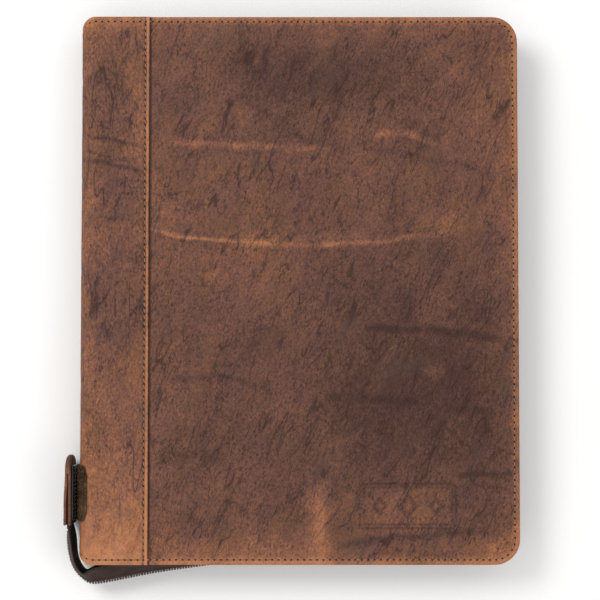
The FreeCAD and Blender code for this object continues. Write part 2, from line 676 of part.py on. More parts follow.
def ring_base():
    """Sprung cover plate of the mechanism, with slots for the ring legs and holes for the rivets."""
    outer = swept_along_y(arch(BASE_HALF_W, BASE_RISE, INSIDE_Z), -BASE_HALF_L, BASE_HALF_L)
    under = arch(BASE_HALF_W - BASE_SKIN, BASE_RISE - BASE_SKIN, INSIDE_Z - PAST)
    base = outer.cut(swept_along_y(under, -BASE_HALF_L - PAST, BASE_HALF_L + PAST))
    z0, z1 = INSIDE_Z + 1.9, CROWN_Z + PAST
    for y in RING_YS:
        y0, y1 = y - LEG_SLOT_HALF_L, y + LEG_SLOT_HALF_L
        base = base.cut(box(RING_X - LEG_SLOT_FAR, RING_X - LEG_SLOT_NEAR, y0, y1, z0, z1))
        base = base.cut(box(RING_X + LEG_SLOT_NEAR, RING_X + LEG_SLOT_FAR, y0, y1, z0, z1))
    for y in (-BASE_HALF_L, BASE_HALF_L):
        base = base.cut(box(RING_X - LEVER_SLOT_HALF_W, RING_X + LEVER_SLOT_HALF_W, y - LEVER_SLOT_L,
                            y + LEVER_SLOT_L, INSIDE_Z + PAST, z1))
    return base.cut(rivet_holes(RIVET_R + SLIP, INSIDE_Z, z1))


def ring_rivets():
    """Two rivets: foot in the board, shank, and a flat head on the cover plate's crown."""
    head_z = CROWN_Z + TOUCH
    rivets = []
    for y in (-RIVET_Y, RIVET_Y):
        foot = Part.makeCylinder(RIVET_FOOT_R, RIVET_FOOT_T, Vector(RING_X, y, BOARD_Z))
        shank = Part.makeCylinder(RIVET_R, CROWN_Z + 0.3 - BOARD_Z, Vector(RING_X, y, BOARD_Z))
        head = Part.makeCylinder(RIVET_HEAD_R, RIVET_HEAD_T, Vector(RING_X, y, head_z))
        rims = [e for e in head.Edges if abs(e.BoundBox.ZMin - head_z - RIVET_HEAD_T) < TOUCH]
        rivets.append(union([foot, shank, head.makeFillet(0.6, rims)]))
    return Part.makeCompound(rivets)


def ring_blade(side):
    """Hinged strip under the cover plate that carries one set of ring halves."""
    x0, x1 = sorted((RING_X + side * (BLADE_PIVOT - 0.2), RING_X + side * 2 * RING_GAP))
    z0, z1 = BLADE_Z - BLADE_T / 2, BLADE_Z + BLADE_T / 2
    blade = box(x0, x1, -BLADE_HALF_L, BLADE_HALF_L, z0, z1)
    return blade.cut(rivet_holes(RIVET_R + 1.2, z0 - PAST, z1 + PAST))


def ring_halves(side):
    """Four half rings of wire, standing on one blade and meeting the other half at the top."""
    foot_z = BLADE_Z + BLADE_T / 2
    start = math.degrees(math.asin((foot_z - RING_WIRE_R / 2 - RING_Z) / RING_R))
    reach = RING_R + 2 * RING_WIRE_R
    halves = []
    for y in RING_YS:
        centre = Vector(RING_X, y, RING_Z)

        def at(deg):
            a = math.radians(deg)
            return centre + Vector(side * RING_R * math.cos(a), 0, RING_R * math.sin(a))

        path = Part.Arc(at(start), at((start + 90) / 2), at(90)).toShape()
        tangent = (at(start + 1) - at(start)).normalize()
        circle = Part.Wire(Part.makeCircle(RING_WIRE_R, at(start), tangent))
        wire = Part.Wire([path]).makePipeShell([circle], True, True)
        y0, y1 = y - 2 * RING_WIRE_R, y + 2 * RING_WIRE_R
        below_foot = box(RING_X - reach, RING_X + reach, y0, y1, INSIDE_Z - reach, foot_z)
        edge_x = RING_X + side * RING_GAP
        x0, x1 = sorted((edge_x, edge_x - side * reach))
        halves.append(wire.cut(below_foot).cut(box(x0, x1, y0, y1, RING_Z, THICK)))
    return Part.makeCompound(halves)


def ring_lever(side):
    """Thumb lever at one end of the mechanism, bent up from a tongue inside the cover plate."""
    profile = [(-2.6, -0.5), (3.0, -0.5), (12.5, 7.6), (17.0, 8.6),
               (17.0, 9.6), (12.0, 8.8), (2.6, 0.7), (-2.6, 0.7)]
    x0 = RING_X - LEVER_HALF_W
    points = [Vector(x0, side * (LEVER_PIVOT_Y + y), LEVER_PIVOT_Z + z) for y, z in profile]
    return prism(points, Vector(2 * LEVER_HALF_W, 0, 0))


# ---------------------------------------------------------------- pockets and pen loop
def patch_pocket(x0, x1, y0, y1, layer=0):
    """Patch of leather on a lining: a sewn rim on three sides leaves a shallow pocket, open at its top.

    layer counts the patches that it lies on."""
    z0 = INSIDE_Z + layer * (POCKET_T + POCKET_RIM)
    sheet = box(x0, x1, y0, y1, z0 + POCKET_RIM, z0 + POCKET_RIM + POCKET_T)
    border = box(x0, x1, y0, y1, z0, z0 + POCKET_RIM + FIT)
    seam = POCKET_SEAM_W
    border = border.cut(box(x0 + seam, x1 - seam, y0 + seam, y1 + PAST, z0 - PAST, z0 + PAST))
    return sheet.fuse(border).removeSplitter()


def large_pocket(top):
    """Pocket almost as wide as the cover, from its foot up to a given height."""
    return patch_pocket(SEAM_X, RIGHT - POCKET_SIDE_GAP, BOTTOM + POCKET_FOOT_GAP, top)


def card_pockets():
    """Three stepped card pockets on the front document pocket."""
    x0, x1 = CARD_POCKET_X
    y0 = CARD_POCKET_FOOT
    tops = [y0 + CARD_POCKET_H - CARD_POCKET_STEP * i for i in range(3)]
    return Part.makeCompound([patch_pocket(x0, x1, y0, top, i + 1) for i, top in enumerate(tops)])


def pen_loop():
    """Elastic loop sewn to the front lining by its two flat ends."""
    x, y0, y1 = PEN_LOOP_X, PEN_LOOP_FOOT_Y, PEN_LOOP_FOOT_Y + PEN_LOOP_L
    z = INSIDE_Z + PEN_LOOP_R + 0.6
    along = Vector(0, 1, 0)
    tube = Part.makeCylinder(PEN_LOOP_R, PEN_LOOP_L, Vector(x, y0, z), along)
    bore = Part.makeCylinder(PEN_LOOP_R - ELASTIC_T, PEN_LOOP_L + 2 * PAST, Vector(x, y0 - PAST, z), along)
    half = PEN_LOOP_FOOT_HALF
    foot = box(x - half, x + half, y0, y1, INSIDE_Z, INSIDE_Z + ELASTIC_T)
    return union([tube.cut(bore), foot])


# ---------------------------------------------------------------- all nodes
def main():
    os.makedirs("parts", exist_ok=True)
    teeth = zip_teeth()
    board_holes = rivet_holes(RIVET_FOOT_R + 2 * FIT, BOARD_Z, LINING_Z)
    lining_holes = rivet_holes(RIVET_R + SLIP, LINING_Z, INSIDE_Z)
    nodes = {
        "back_panel_leather": cover_panel(),
        "back_spine_strip": cover_strip(),
        "back_board": cover_board(board_holes),
        "back_lining": cover_lining(lining_holes),
        "back_edge_thread": edge_thread(),
        "back_seam_thread": seam_thread(),
        "front_panel_leather": to_front(cover_panel()),
        "front_spine_strip": to_front(cover_strip()),
        "front_board": to_front(cover_board([])),
        "front_lining": to_front(cover_lining([])),
        "front_edge_thread": to_front(edge_thread()),
        "front_seam_thread": to_front(seam_thread()),
        "spine_leather": spine_leather(),
        "spine_board": spine_board(),
        "spine_lining": spine_lining(),
        "loop_pad": loop_pad(),
        "tab_leather": tab_leather(),
        "hook_pad": hook_pad(),
        "tab_thread": tab_thread(),
        "zip_tail_end": tail_end(),
        "zip_tape_back": tape_half(),
        "zip_tape_front": to_front(tape_half()),
        "zip_teeth_back": Part.makeCompound(teeth["back"]),
        "zip_teeth_front": Part.makeCompound(teeth["front"]),
        "zip_tail_tape": tail_tape(),
        "zip_tail_teeth": Part.makeCompound(teeth["tail"]),
        "zip_top_stop_back": top_stop(),
        "zip_top_stop_front": to_front(top_stop()),
        "zip_bottom_stop": bottom_stop(),
        "zip_slider": zip_slider(),
        "zip_pull": zip_pull(),
        "ring_base": ring_base(),
        "ring_rivets": ring_rivets(),
        "ring_blade_left": ring_blade(-1),
        "ring_blade_right": ring_blade(1),
        "ring_halves_left": ring_halves(-1),
        "ring_halves_right": ring_halves(1),
        "ring_lever_top": ring_lever(1),
        "ring_lever_bottom": ring_lever(-1),
        "front_document_pocket": to_front(large_pocket(DOCUMENT_POCKET_TOP)),
        "front_card_pockets": to_front(card_pockets()),
        "back_pad_pocket": large_pocket(PAD_POCKET_TOP),
        "pen_loop": to_front(pen_loop()),
    }
    for name, shape in nodes.items():
        save(name, shape)


main()
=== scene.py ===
"""Looks for the zip-around leather portfolio case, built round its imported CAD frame.

Shapes are worked out in millimetres, in the frame's own axes, and scaled to metres as each mesh is made.
A cover's heights are measured outwards from its outer leather face, so both covers share their functions.
"""
import math
from collections import namedtuple

import bmesh
import bpy
import numpy as np
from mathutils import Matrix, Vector


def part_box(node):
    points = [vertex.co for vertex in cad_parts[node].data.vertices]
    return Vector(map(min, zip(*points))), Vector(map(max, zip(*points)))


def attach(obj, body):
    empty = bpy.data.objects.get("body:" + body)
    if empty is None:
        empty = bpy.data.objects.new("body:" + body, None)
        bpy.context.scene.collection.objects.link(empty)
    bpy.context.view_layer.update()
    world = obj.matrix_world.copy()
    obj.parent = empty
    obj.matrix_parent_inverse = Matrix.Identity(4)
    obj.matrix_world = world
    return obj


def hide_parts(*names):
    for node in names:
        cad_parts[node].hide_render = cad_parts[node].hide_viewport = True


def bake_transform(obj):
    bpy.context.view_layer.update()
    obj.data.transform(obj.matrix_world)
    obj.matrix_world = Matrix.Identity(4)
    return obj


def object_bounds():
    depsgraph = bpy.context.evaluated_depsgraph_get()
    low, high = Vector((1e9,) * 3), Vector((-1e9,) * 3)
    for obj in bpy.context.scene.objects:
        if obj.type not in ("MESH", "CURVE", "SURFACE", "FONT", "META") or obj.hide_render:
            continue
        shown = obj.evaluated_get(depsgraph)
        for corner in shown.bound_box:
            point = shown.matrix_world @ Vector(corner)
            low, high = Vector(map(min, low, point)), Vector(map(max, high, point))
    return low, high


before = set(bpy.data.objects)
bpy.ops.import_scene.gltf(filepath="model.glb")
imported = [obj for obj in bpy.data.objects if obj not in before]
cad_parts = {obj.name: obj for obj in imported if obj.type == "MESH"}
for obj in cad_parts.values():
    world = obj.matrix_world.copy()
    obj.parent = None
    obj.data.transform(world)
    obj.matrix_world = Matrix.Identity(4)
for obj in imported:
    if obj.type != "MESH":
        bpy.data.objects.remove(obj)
cad_low, cad_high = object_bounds()
MM = 0.001


# ---------------------------------------------------------------- places read from the frame (mm)
def mm_box(node):
    low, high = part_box(node)
    return np.array(low) / MM, np.array(high) / MM


panel_low, panel_high = mm_box("front_panel_leather")
strip_high = mm_box("front_spine_strip")[1]
tab_low, tab_high = mm_box("tab_leather")
tail_end_low, tail_end_high = mm_box("zip_tail_end")
LEFT = mm_box("spine_leather")[0][0]
RIGHT = panel_high[0]
BOTTOM = panel_low[1]
TOP = panel_high[1]
FRONT_Z = panel_high[2]
BACK_Z = mm_box("back_panel_leather")[0][2]
MID_Z = (FRONT_Z + BACK_Z) / 2
PANEL_LEFT = panel_low[0]
SEAM_X = strip_high[0]
HEM_DEPTH = FRONT_Z - panel_low[2]
STRIP_PROUD = strip_high[2] - FRONT_Z
LEATHER_T = FRONT_Z - mm_box("front_board")[1][2]
INNER_DEPTH = FRONT_Z - mm_box("front_lining")[0][2]    # from the outer face to the lining's inner face

OPEN_R = 16.0                 # plan corners on the open side
SPINE_CORNER_R = 9.0
SPINE_ROUND_R = 10.0          # rounding from a cover to the spine
STRIP_T = 1.2
STITCH_PITCH = 4.0
EDGE_STITCH_INSET = 3.2
SEAM_STITCH_INSET = 2.6


class Cover:
    """One cover. Its heights are measured outwards from its outer leather face."""

    def __init__(self, name, outer_z, up, panel_seed, strip_seed, panel_step):
        self.name, self.outer_z, self.up = name, outer_z, up
        self.panel_seed, self.strip_seed, self.panel_step = panel_seed, strip_seed, panel_step
        self.front = up > 0
        self.body = name + "_cover"

    def z(self, height):
        return self.outer_z + self.up * height

    def inner_z(self, height):
        """Z of a height above the lining's inner face."""
        return self.z(-INNER_DEPTH - height)

    def bend(self, piece, on_cover, on_spine):
        """Bakes a piece's transform into its mesh, without bending it; the two (x, z) places across the
        crease are not used.
        """
        start, end = [(x * MM, 0, z * MM) for x, z in (on_cover, on_spine)]
        if self.front:
            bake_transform(piece)
        else:
            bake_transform(piece)


FRONT = Cover("front", FRONT_Z, 1, panel_seed=21, strip_seed=83, panel_step=1.15)
BACK = Cover("back", BACK_Z, -1, panel_seed=57, strip_seed=87, panel_step=1.6)


# ---------------------------------------------------------------- numbers and noise
def smooth(edge0, edge1, value):
    t = np.clip((value - edge0) / (edge1 - edge0), 0, 1)
    return t * t * (3 - 2 * t)


def bump(value, centre, width):
    return np.exp(-((value - centre) / width) ** 2)


def swells(distance, rows):
    """Sum of soft bumps that run along an edge: each one's height, distance in from the edge, and width."""
    return sum(height * bump(distance, place, width) for height, place, width in rows)


def unit(vectors):
    return vectors / np.linalg.norm(vectors, axis=-1)[..., None]


def value_noise(x, y, seed):
    """Smooth noise from -1 to 1 on a unit lattice; the same points always give the same values."""
    xi, yi = np.floor(x).astype(np.int64), np.floor(y).astype(np.int64)
    u, v = x - xi, y - yi
    u, v = u * u * (3 - 2 * u), v * v * (3 - 2 * v)

    def corner(a, b):
        """Mixes a lattice corner and the seed into 16 bits."""
        h = (a * 374761393 + b * 668265263 + seed * 69069) & 0xFFFFFFFF
        h = ((h ^ (h >> 13)) * 1274126177) & 0xFFFFFFFF
        return ((h ^ (h >> 16)) & 0xFFFF) / 32767.5 - 1

    low = corner(xi, yi) * (1 - u) + corner(xi + 1, yi) * u
    high = corner(xi, yi + 1) * (1 - u) + corner(xi + 1, yi + 1) * u
    return low * (1 - v) + high * v


def fractal(x, y, size, seed, octaves=3):
    total, weight = 0, 0
    for k in range(octaves):
        total = total + value_noise(x * 2 ** k / size, y * 2 ** k / size, seed + k) / 2 ** k
        weight += 1 / 2 ** k
    return total / weight


WRINKLE_LEAN, WRINKLE_STRETCH, WRINKLE_THIN = 0.175, 3.2, 0.07


def wrinkles(x, y, seed):
    """Thin valleys, 0 to 1, longer up and down the hide than across it, that lean and wander."""
    leaning = x + WRINKLE_LEAN * y + 6 * fractal(x, y, 40, seed + 11)
    ridged = np.abs(fractal(leaning, y / WRINKLE_STRETCH, 9, seed, 2))
    patchy = smooth(-0.25, 0.35, fractal(x, y, 28, seed + 5))
    return bump(ridged, 0, WRINKLE_THIN) * patchy


def covered(points):
    """Distance covered at each point of a polyline, or down each column of a grid of points."""
    steps = np.linalg.norm(np.diff(points, axis=0), axis=-1)
    return np.concatenate([np.zeros_like(steps[:1]), np.cumsum(steps, axis=0)])


def evenly(line, pitch):
    """Points a pitch apart along a polyline, with unit tangents."""
    line = np.asarray(line, float)
    lengths = covered(line)
    total = lengths[-1]
    s = np.linspace(0, total, int(round(total / pitch)) + 1)

    def at(distance):
        return np.stack([np.interp(np.clip(distance, 0, total), lengths, column) for column in line.T], 1)

    return at(s), unit(at(s + 0.2) - at(s - 0.2))


def cubic_through(points):
    """Natural cubic spline through points, with the station number as its parameter."""
    points = np.asarray(points, float)
    n = len(points)
    system, right = np.zeros((n, n)), np.zeros_like(points)
    system[0, 0] = system[-1, -1] = 1
    for i in range(1, n - 1):
        system[i, i - 1:i + 2] = (1, 4, 1)
        right[i] = 6 * (points[i - 1] - 2 * points[i] + points[i + 1])
    second = np.linalg.solve(system, right)

    def at(u):
        u = np.atleast_1d(np.asarray(u, float))
        i = np.clip(np.floor(u).astype(int), 0, n - 2)
        t = (u - i)[:, None]
        a, b, c, d = points[i], points[i + 1], second[i], second[i + 1]
        return a * (1 - t) + b * t + ((1 - t) ** 3 - (1 - t)) * c / 6 + (t ** 3 - t) * d / 6

    return at


# ---------------------------------------------------------------- mesh helpers
def make_piece(name, points, faces, material, weld=True):
    """Mesh object from points in mm; faces of more than four corners are left flat."""
    mesh = bpy.data.meshes.new(name)
    mesh.from_pydata((np.asarray(points, float) * MM).tolist(), [], faces)
    work = bmesh.new()
    work.from_mesh(mesh)
    if weld:
        bmesh.ops.remove_doubles(work, verts=work.verts, dist=2e-6)
        bmesh.ops.dissolve_degenerate(work, edges=work.edges, dist=1e-7)
    bmesh.ops.recalc_face_normals(work, faces=work.faces)
    for face in work.faces:
        face.smooth = len(face.verts) <= 4
    work.to_mesh(mesh)
    work.free()
    mesh.materials.append(material)
    piece = bpy.data.objects.new(name, mesh)
    bpy.context.scene.collection.objects.link(piece)
    return piece


def set_attribute(piece, name, values):
    values = np.asarray(values, np.float32)
    if values.ndim == 2:
        attribute = piece.data.attributes.new(name, "FLOAT_VECTOR", "POINT")
        attribute.data.foreach_set("vector", values.ravel())
    else:
        attribute = piece.data.attributes.new(name, "FLOAT", "POINT")
        attribute.data.foreach_set("value", values)


def paint(piece, across, along, plane, tone, pressed=None):
    """Gives a leather piece its place on the hide, its tone and what is pressed into it."""
    set_attribute(piece, "hide", np.stack([across, along, np.full(len(across), float(plane))], 1))
    set_attribute(piece, "tone", np.broadcast_to(tone, across.shape))
    set_attribute(piece, "pressed", np.zeros(len(across)) if pressed is None else pressed)


def fit(piece, body=None, nodes=()):
    """Hides the CAD nodes a piece stands for and attaches the piece to its body."""
    if nodes:
        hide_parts(*nodes)
    if body:
        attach(piece, body)


def grid_faces(rows, columns, closed=False, start=0):
    """Quads of a grid of points, joined from its last column to its first where it is closed."""
    faces = []
    for i in range(rows - 1):
        a = start + i * columns
        b = a + columns
        for j in range(columns if closed else columns - 1):
            k = (j + 1) % columns
            faces.append((a + j, a + k, b + k, b + j))
    return faces


def solid(rings):
    """Points and faces of a closed shape from rings of equally many points, capped at both ends."""
    rings = np.asarray(rings, float)
    count, around = rings.shape[:2]
    last = (count - 1) * around
    caps = [tuple(range(around)), tuple(range(last, last + around))]
    return rings.reshape(-1, 3), grid_faces(count, around, closed=True) + caps


def many(shape, places):
    """Copies of a small closed shape: places are (origin, 3x3 axes as columns)."""
    template, faces = shape
    points, all_faces = [], []
    for n, (origin, axes) in enumerate(places):
        points.append(template @ np.asarray(axes, float).T + np.asarray(origin, float))
        base = n * len(template)
        all_faces += [tuple(base + i for i in face) for face in faces]
    return np.concatenate(points), all_faces


def circle(count):
    return [2 * math.pi * k / count for k in range(count)]


def capsule(length, radius, flatness):
    """Pill along X."""
    rings = []
    for i in range(7):
        t = -math.cos(math.pi * i / 6)
        r = radius * math.sqrt(max(1 - t ** 4, 0.02))
        rings.append([(t * length / 2, r * math.cos(a), r * flatness * math.sin(a)) for a in circle(8)])
    return solid(rings)


# ---------------------------------------------------------------- plan outlines
def rounded_loop(rect, radii, inset, counts):
    """Plan points round a rectangle, inset by a distance; equally many for every inset.

    rect is (x0, x1, y0, y1); radii are for the bottom-left, bottom-right, top-right and top-left corners.
    counts are the steps across, up and round a corner."""
    x0, x1, y0, y1 = rect
    across, up, turn = counts
    corners = []
    for (sx, sy), radius in zip(((-1, -1), (1, -1), (1, 1), (-1, 1)), radii):
        e = max(radius, inset)
        centre = np.array([x0 + e if sx < 0 else x1 - e, y0 + e if sy < 0 else y1 - e])
        corners.append((centre, max(radius - inset, 0.0)))
    points = []
    for k, count in enumerate((across, up, across, up)):
        turned = np.radians(90 * (k - 1) + 90 * np.arange(turn) / turn)
        outward = np.stack([np.cos(turned), np.sin(turned)], 1)
        (a, a_radius), (b, b_radius) = corners[k], corners[(k + 1) % 4]
        t = np.arange(count)[:, None] / count
        points.append((a + a_radius * outward[0]) * (1 - t) + (b + b_radius * outward[0]) * t)
        points.append(b + b_radius * outward)
    return np.concatenate(points)


RIM_CORNER_STEPS = 20


def rim_line(inset, top_x, bottom_x, step=1.0):
    """Plan line at an inset: along the top from top_x, down the open side, along the bottom to bottom_x."""
    cx, cy = RIGHT - OPEN_R, TOP - OPEN_R
    y = TOP - inset
    radius = OPEN_R - inset

    def straight(start, end, whole=False):
        return np.linspace(start, end, max(2, int(math.dist(start, end) / step)), endpoint=whole)

    def corner(centre_y, first_deg):
        a = np.radians(np.linspace(first_deg, first_deg - 90, RIM_CORNER_STEPS, endpoint=False))
        return np.stack([cx + radius * np.cos(a), centre_y + radius * np.sin(a)], 1)

    return np.concatenate([
        straight((top_x, y), (cx, y)), corner(cy, 90), straight((RIGHT - inset, cy), (RIGHT - inset, -cy)),
        corner(-cy, 0), straight((cx, -y), (bottom_x, -y), whole=True)])


def open_edge_distance(x, y):
    """Distance in from the three open sides, round the open corners."""
    cx, cy = RIGHT - OPEN_R, TOP - OPEN_R
    straight = np.minimum(RIGHT - x, TOP - np.abs(y))
    rounded = OPEN_R - np.hypot(x - cx, np.abs(y) - cy)
    return np.where((x > cx) & (np.abs(y) > cy), rounded, straight)


def corner_drop(distance, radius):
    """How far a rounded corner falls back at a distance in from the side."""
    reach = np.clip(radius - distance, 0, radius)
    return radius - np.sqrt(np.maximum(radius ** 2 - reach ** 2, 0))


# ---------------------------------------------------------------- marks in the hide
# soft spot: where it is, how far it reaches, and how much lighter (+) or darker (-) it is
Mark = namedtuple("Mark", "x y reach_x reach_y tone")
FRONT_MARKS = [
    Mark(78, -58, 56, 72, -0.85),        # dark, open side below the middle
    Mark(118, -92, 22, 30, -0.4),
    Mark(42, -80, 20, 30, -0.35),
    Mark(8, 136, 60, 20, -0.70),         # dark, near the top edge
    Mark(-50, -100, 34, 24, -0.22),
    Mark(-18, -38, 34, 20, -0.35),
    Mark(-88, 100, 10, 40, 0.2),
    Mark(-62, 12, 22, 18, 0.35),
    Mark(-84, 38, 14, 16, 0.3),
    Mark(-22, 8, 20, 20, 0.3),
    Mark(90, 42, 16, 9, 0.75),
    Mark(92, -10, 14, 16, 0.4),
    Mark(13, -146, 6, 22, 1.15),         # bright rub near the bottom edge
    Mark(85, -52, 5, 4, 0.7),
    Mark(78, 66, 30, 20, 0.2),
    Mark(110, 120, 22, 30, 0.25),
    Mark(-84, -95, 16, 60, 0.3),
    Mark(70, -137, 34, 14, 0.55),
    Mark(-40, -168, 60, 12, 0.5),
    Mark(125, -165, 14, 12, 0.5),
]
STRIP_MARKS = [
    Mark(-116, -178, 60, 55, 1.45),      # worn caramel end of the spine
    Mark(-112, -85, 40, 60, 0.35),
    Mark(-120, 172, 60, 8, 0.7),
    Mark(-112, 60, 30, 40, -0.15),
    Mark(-100, 120, 8, 60, 0.25),
]
# long line from x0, y0 to x1, y1, its middle raised by rise: its width, and how light or dark it is
Line = namedtuple("Line", "x0 y0 x1 y1 rise width tone")
RUB_LINES = [                            # worn over the rings and boards inside the cover
    Line(-88, 92, 30, 86, 1.5, 2.6, 0.75),
    Line(44, 95, 90, 89, 6.0, 2.8, 0.75),
    Line(-99, 38.5, 106, 38.5, -11.0, 1.8, 0.75),
    Line(-100, 38.5, -38, 30.2, -2.4, 1.2, 0.6),
    Line(-70, 36, 60, 36, -6.0, 5.0, 0.35),
]
DARK_LINES = [                           # folds in the hide
    Line(36, -25, 134, -33, 2.5, 2.6, -0.75),
    Line(16, -68, 78, -72, 1.0, 3.2, -0.55),
    Line(90, -74, 127, -79, 0.0, 2.8, -0.5),
    Line(96, -117, 138, -115, 0.0, 1.8, -0.8),
    Line(16, -163, 130, -153, 4.0, 2.8, -0.7),
    Line(-92, -106, -46, -106, 1.0, 4.5, -0.5),
    Line(-88, -59, -14, -66, 7.0, 2.2, -0.5),
    Line(-40, 122, 20, 84, 0.0, 3.0, -0.3),
    Line(40, 88, 128, 74, 0.0, 2.4, -0.3),
]
STRIP_LINES = [
    Line(-136, 96, -96, 89, 1.5, 1.6, -0.8),
    Line(-136, 82, -96, 73, 1.5, 1.8, -0.8),
    Line(-136, 46, -96, 43, 0.0, 1.8, -0.35),
    Line(-136, 89, -100, 82, -2.0, 1.2, -0.5),
]
FRONT_LINES = RUB_LINES + DARK_LINES


def marks_tone(marks, x, y):
    return sum(m.tone * np.exp(-((x - m.x) / m.reach_x) ** 2 - ((y - m.y) / m.reach_y) ** 2) for m in marks)


LINE_DEPTH = 0.2


def lines_relief(lines, x, y):
    """How far the long lines lift or sink the leather (mm)."""
    total = 0
    for line in lines:
        t = (x - line.x0) / (line.x1 - line.x0)
        middle = line.y0 + (line.y1 - line.y0) * t + 4 * line.rise * t * (1 - t)
        strength = smooth(0, 0.12, t) * smooth(1, 0.85, t) * bump(y - middle, 0, line.width)
        total = total + LINE_DEPTH * line.tone * strength
    return total


MOTIF_X, MOTIF_Y = 68, -136
MOTIF_HALF_W, MOTIF_HALF_H = 31, 14.5
MOTIF_CORNER_R = 4.0
LOZENGES = ((-17.5, 6.2), (0, 8.4), (17.5, 6.2))    # place across the motif, and half height


def motif(x, y):
    """Blind-pressed ornament: a plain double frame round three lozenges. Gives 0 to 1."""
    u, v = x - MOTIF_X, y - MOTIF_Y
    qx = np.abs(u) - (MOTIF_HALF_W - MOTIF_CORNER_R)
    qy = np.abs(v) - (MOTIF_HALF_H - MOTIF_CORNER_R)
    outside = np.hypot(np.maximum(qx, 0), np.maximum(qy, 0))
    edge = outside + np.minimum(np.maximum(qx, qy), 0) - MOTIF_CORNER_R
    pressed = np.maximum(bump(edge, -0.8, 0.75), 0.8 * bump(edge, -3.2, 0.5))
    for centre, size in LOZENGES:
        lozenge = np.abs(u - centre) / 0.8 + np.abs(v) - size
        pressed = np.maximum(pressed, smooth(0.7, -0.7, lozenge) - smooth(-3.0, -4.2, lozenge))
    return np.clip(pressed, 0, 1)


def hide_height(x, y, seed):
    """Gentle rise and fall of the leather over its board (mm)."""
    slow = 0.16 * fractal(x, y, 70, seed, 2)
    fine = 0.10 * fractal(x, y, 12, seed + 3, 3)
    return slow + fine - 0.22 * wrinkles(x, y, seed + 7)


# rises (+) and grooves (-) beside an edge: height, distance in, width (mm)
PANEL_EDGE_SWELLS = ((0.16, 1.6, 0.9), (-0.26, EDGE_STITCH_INSET, 0.6), (0.12, 5.4, 1.3))
BOARD_EDGE_DROP = 0.25        # the leather falls this much past the edge of its board
MOTIF_DEPTH = 0.5


def panel_height(x, y, cover):
    """Height of a cover panel's outer face above its nominal plane (mm)."""
    d = open_edge_distance(x, y)
    height = hide_height(x, y, cover.panel_seed) * smooth(2.0, 9.0, d)
    height = height + swells(d, PANEL_EDGE_SWELLS) - BOARD_EDGE_DROP * smooth(8.5, 4.5, d)
    if cover.front:
        height = height + lines_relief(FRONT_LINES, x, y) - MOTIF_DEPTH * motif(x, y)
    return height


def panel_tone(x, y, cover):
    """How light or dark a panel's leather is beside the rest: worn at its edge, dark under the strip, with a
    painted shadow line along the seam where the strip's raised edge stands over it.
    """
    d = open_edge_distance(x, y)
    worn = 0.95 * smooth(7.0, 0.5, d) + 0.25 * smooth(24, 2, d)
    own = marks_tone(FRONT_MARKS, x, y) if cover.front else 0.5 * fractal(x, y, 90, 91, 2)
    # painted shadow: darkens the panel under the strip and in a band about 1.5 mm wide past the seam, where
    # the strip's raised edge casts its shade
    under_strip = 2.3 * smooth(SEAM_X + 1.5, SEAM_X + 0.5, x)
    return worn + own - under_strip


# ---------------------------------------------------------------- materials
class Field:
    """A node's output that can be added, subtracted and multiplied like a number."""

    def __init__(self, nodes, socket):
        self.nodes, self.socket = nodes, socket

    def __add__(self, other):
        return self.nodes.math("ADD", self, other)

    def __radd__(self, other):
        return self.nodes.math("ADD", other, self)

    def __sub__(self, other):
        return self.nodes.math("SUBTRACT", self, other)

    def __rsub__(self, other):
        return self.nodes.math("SUBTRACT", other, self)

    def __mul__(self, other):
        return self.nodes.math("MULTIPLY", self, other)

    def __abs__(self):
        return self.nodes.math("ABSOLUTE", self)


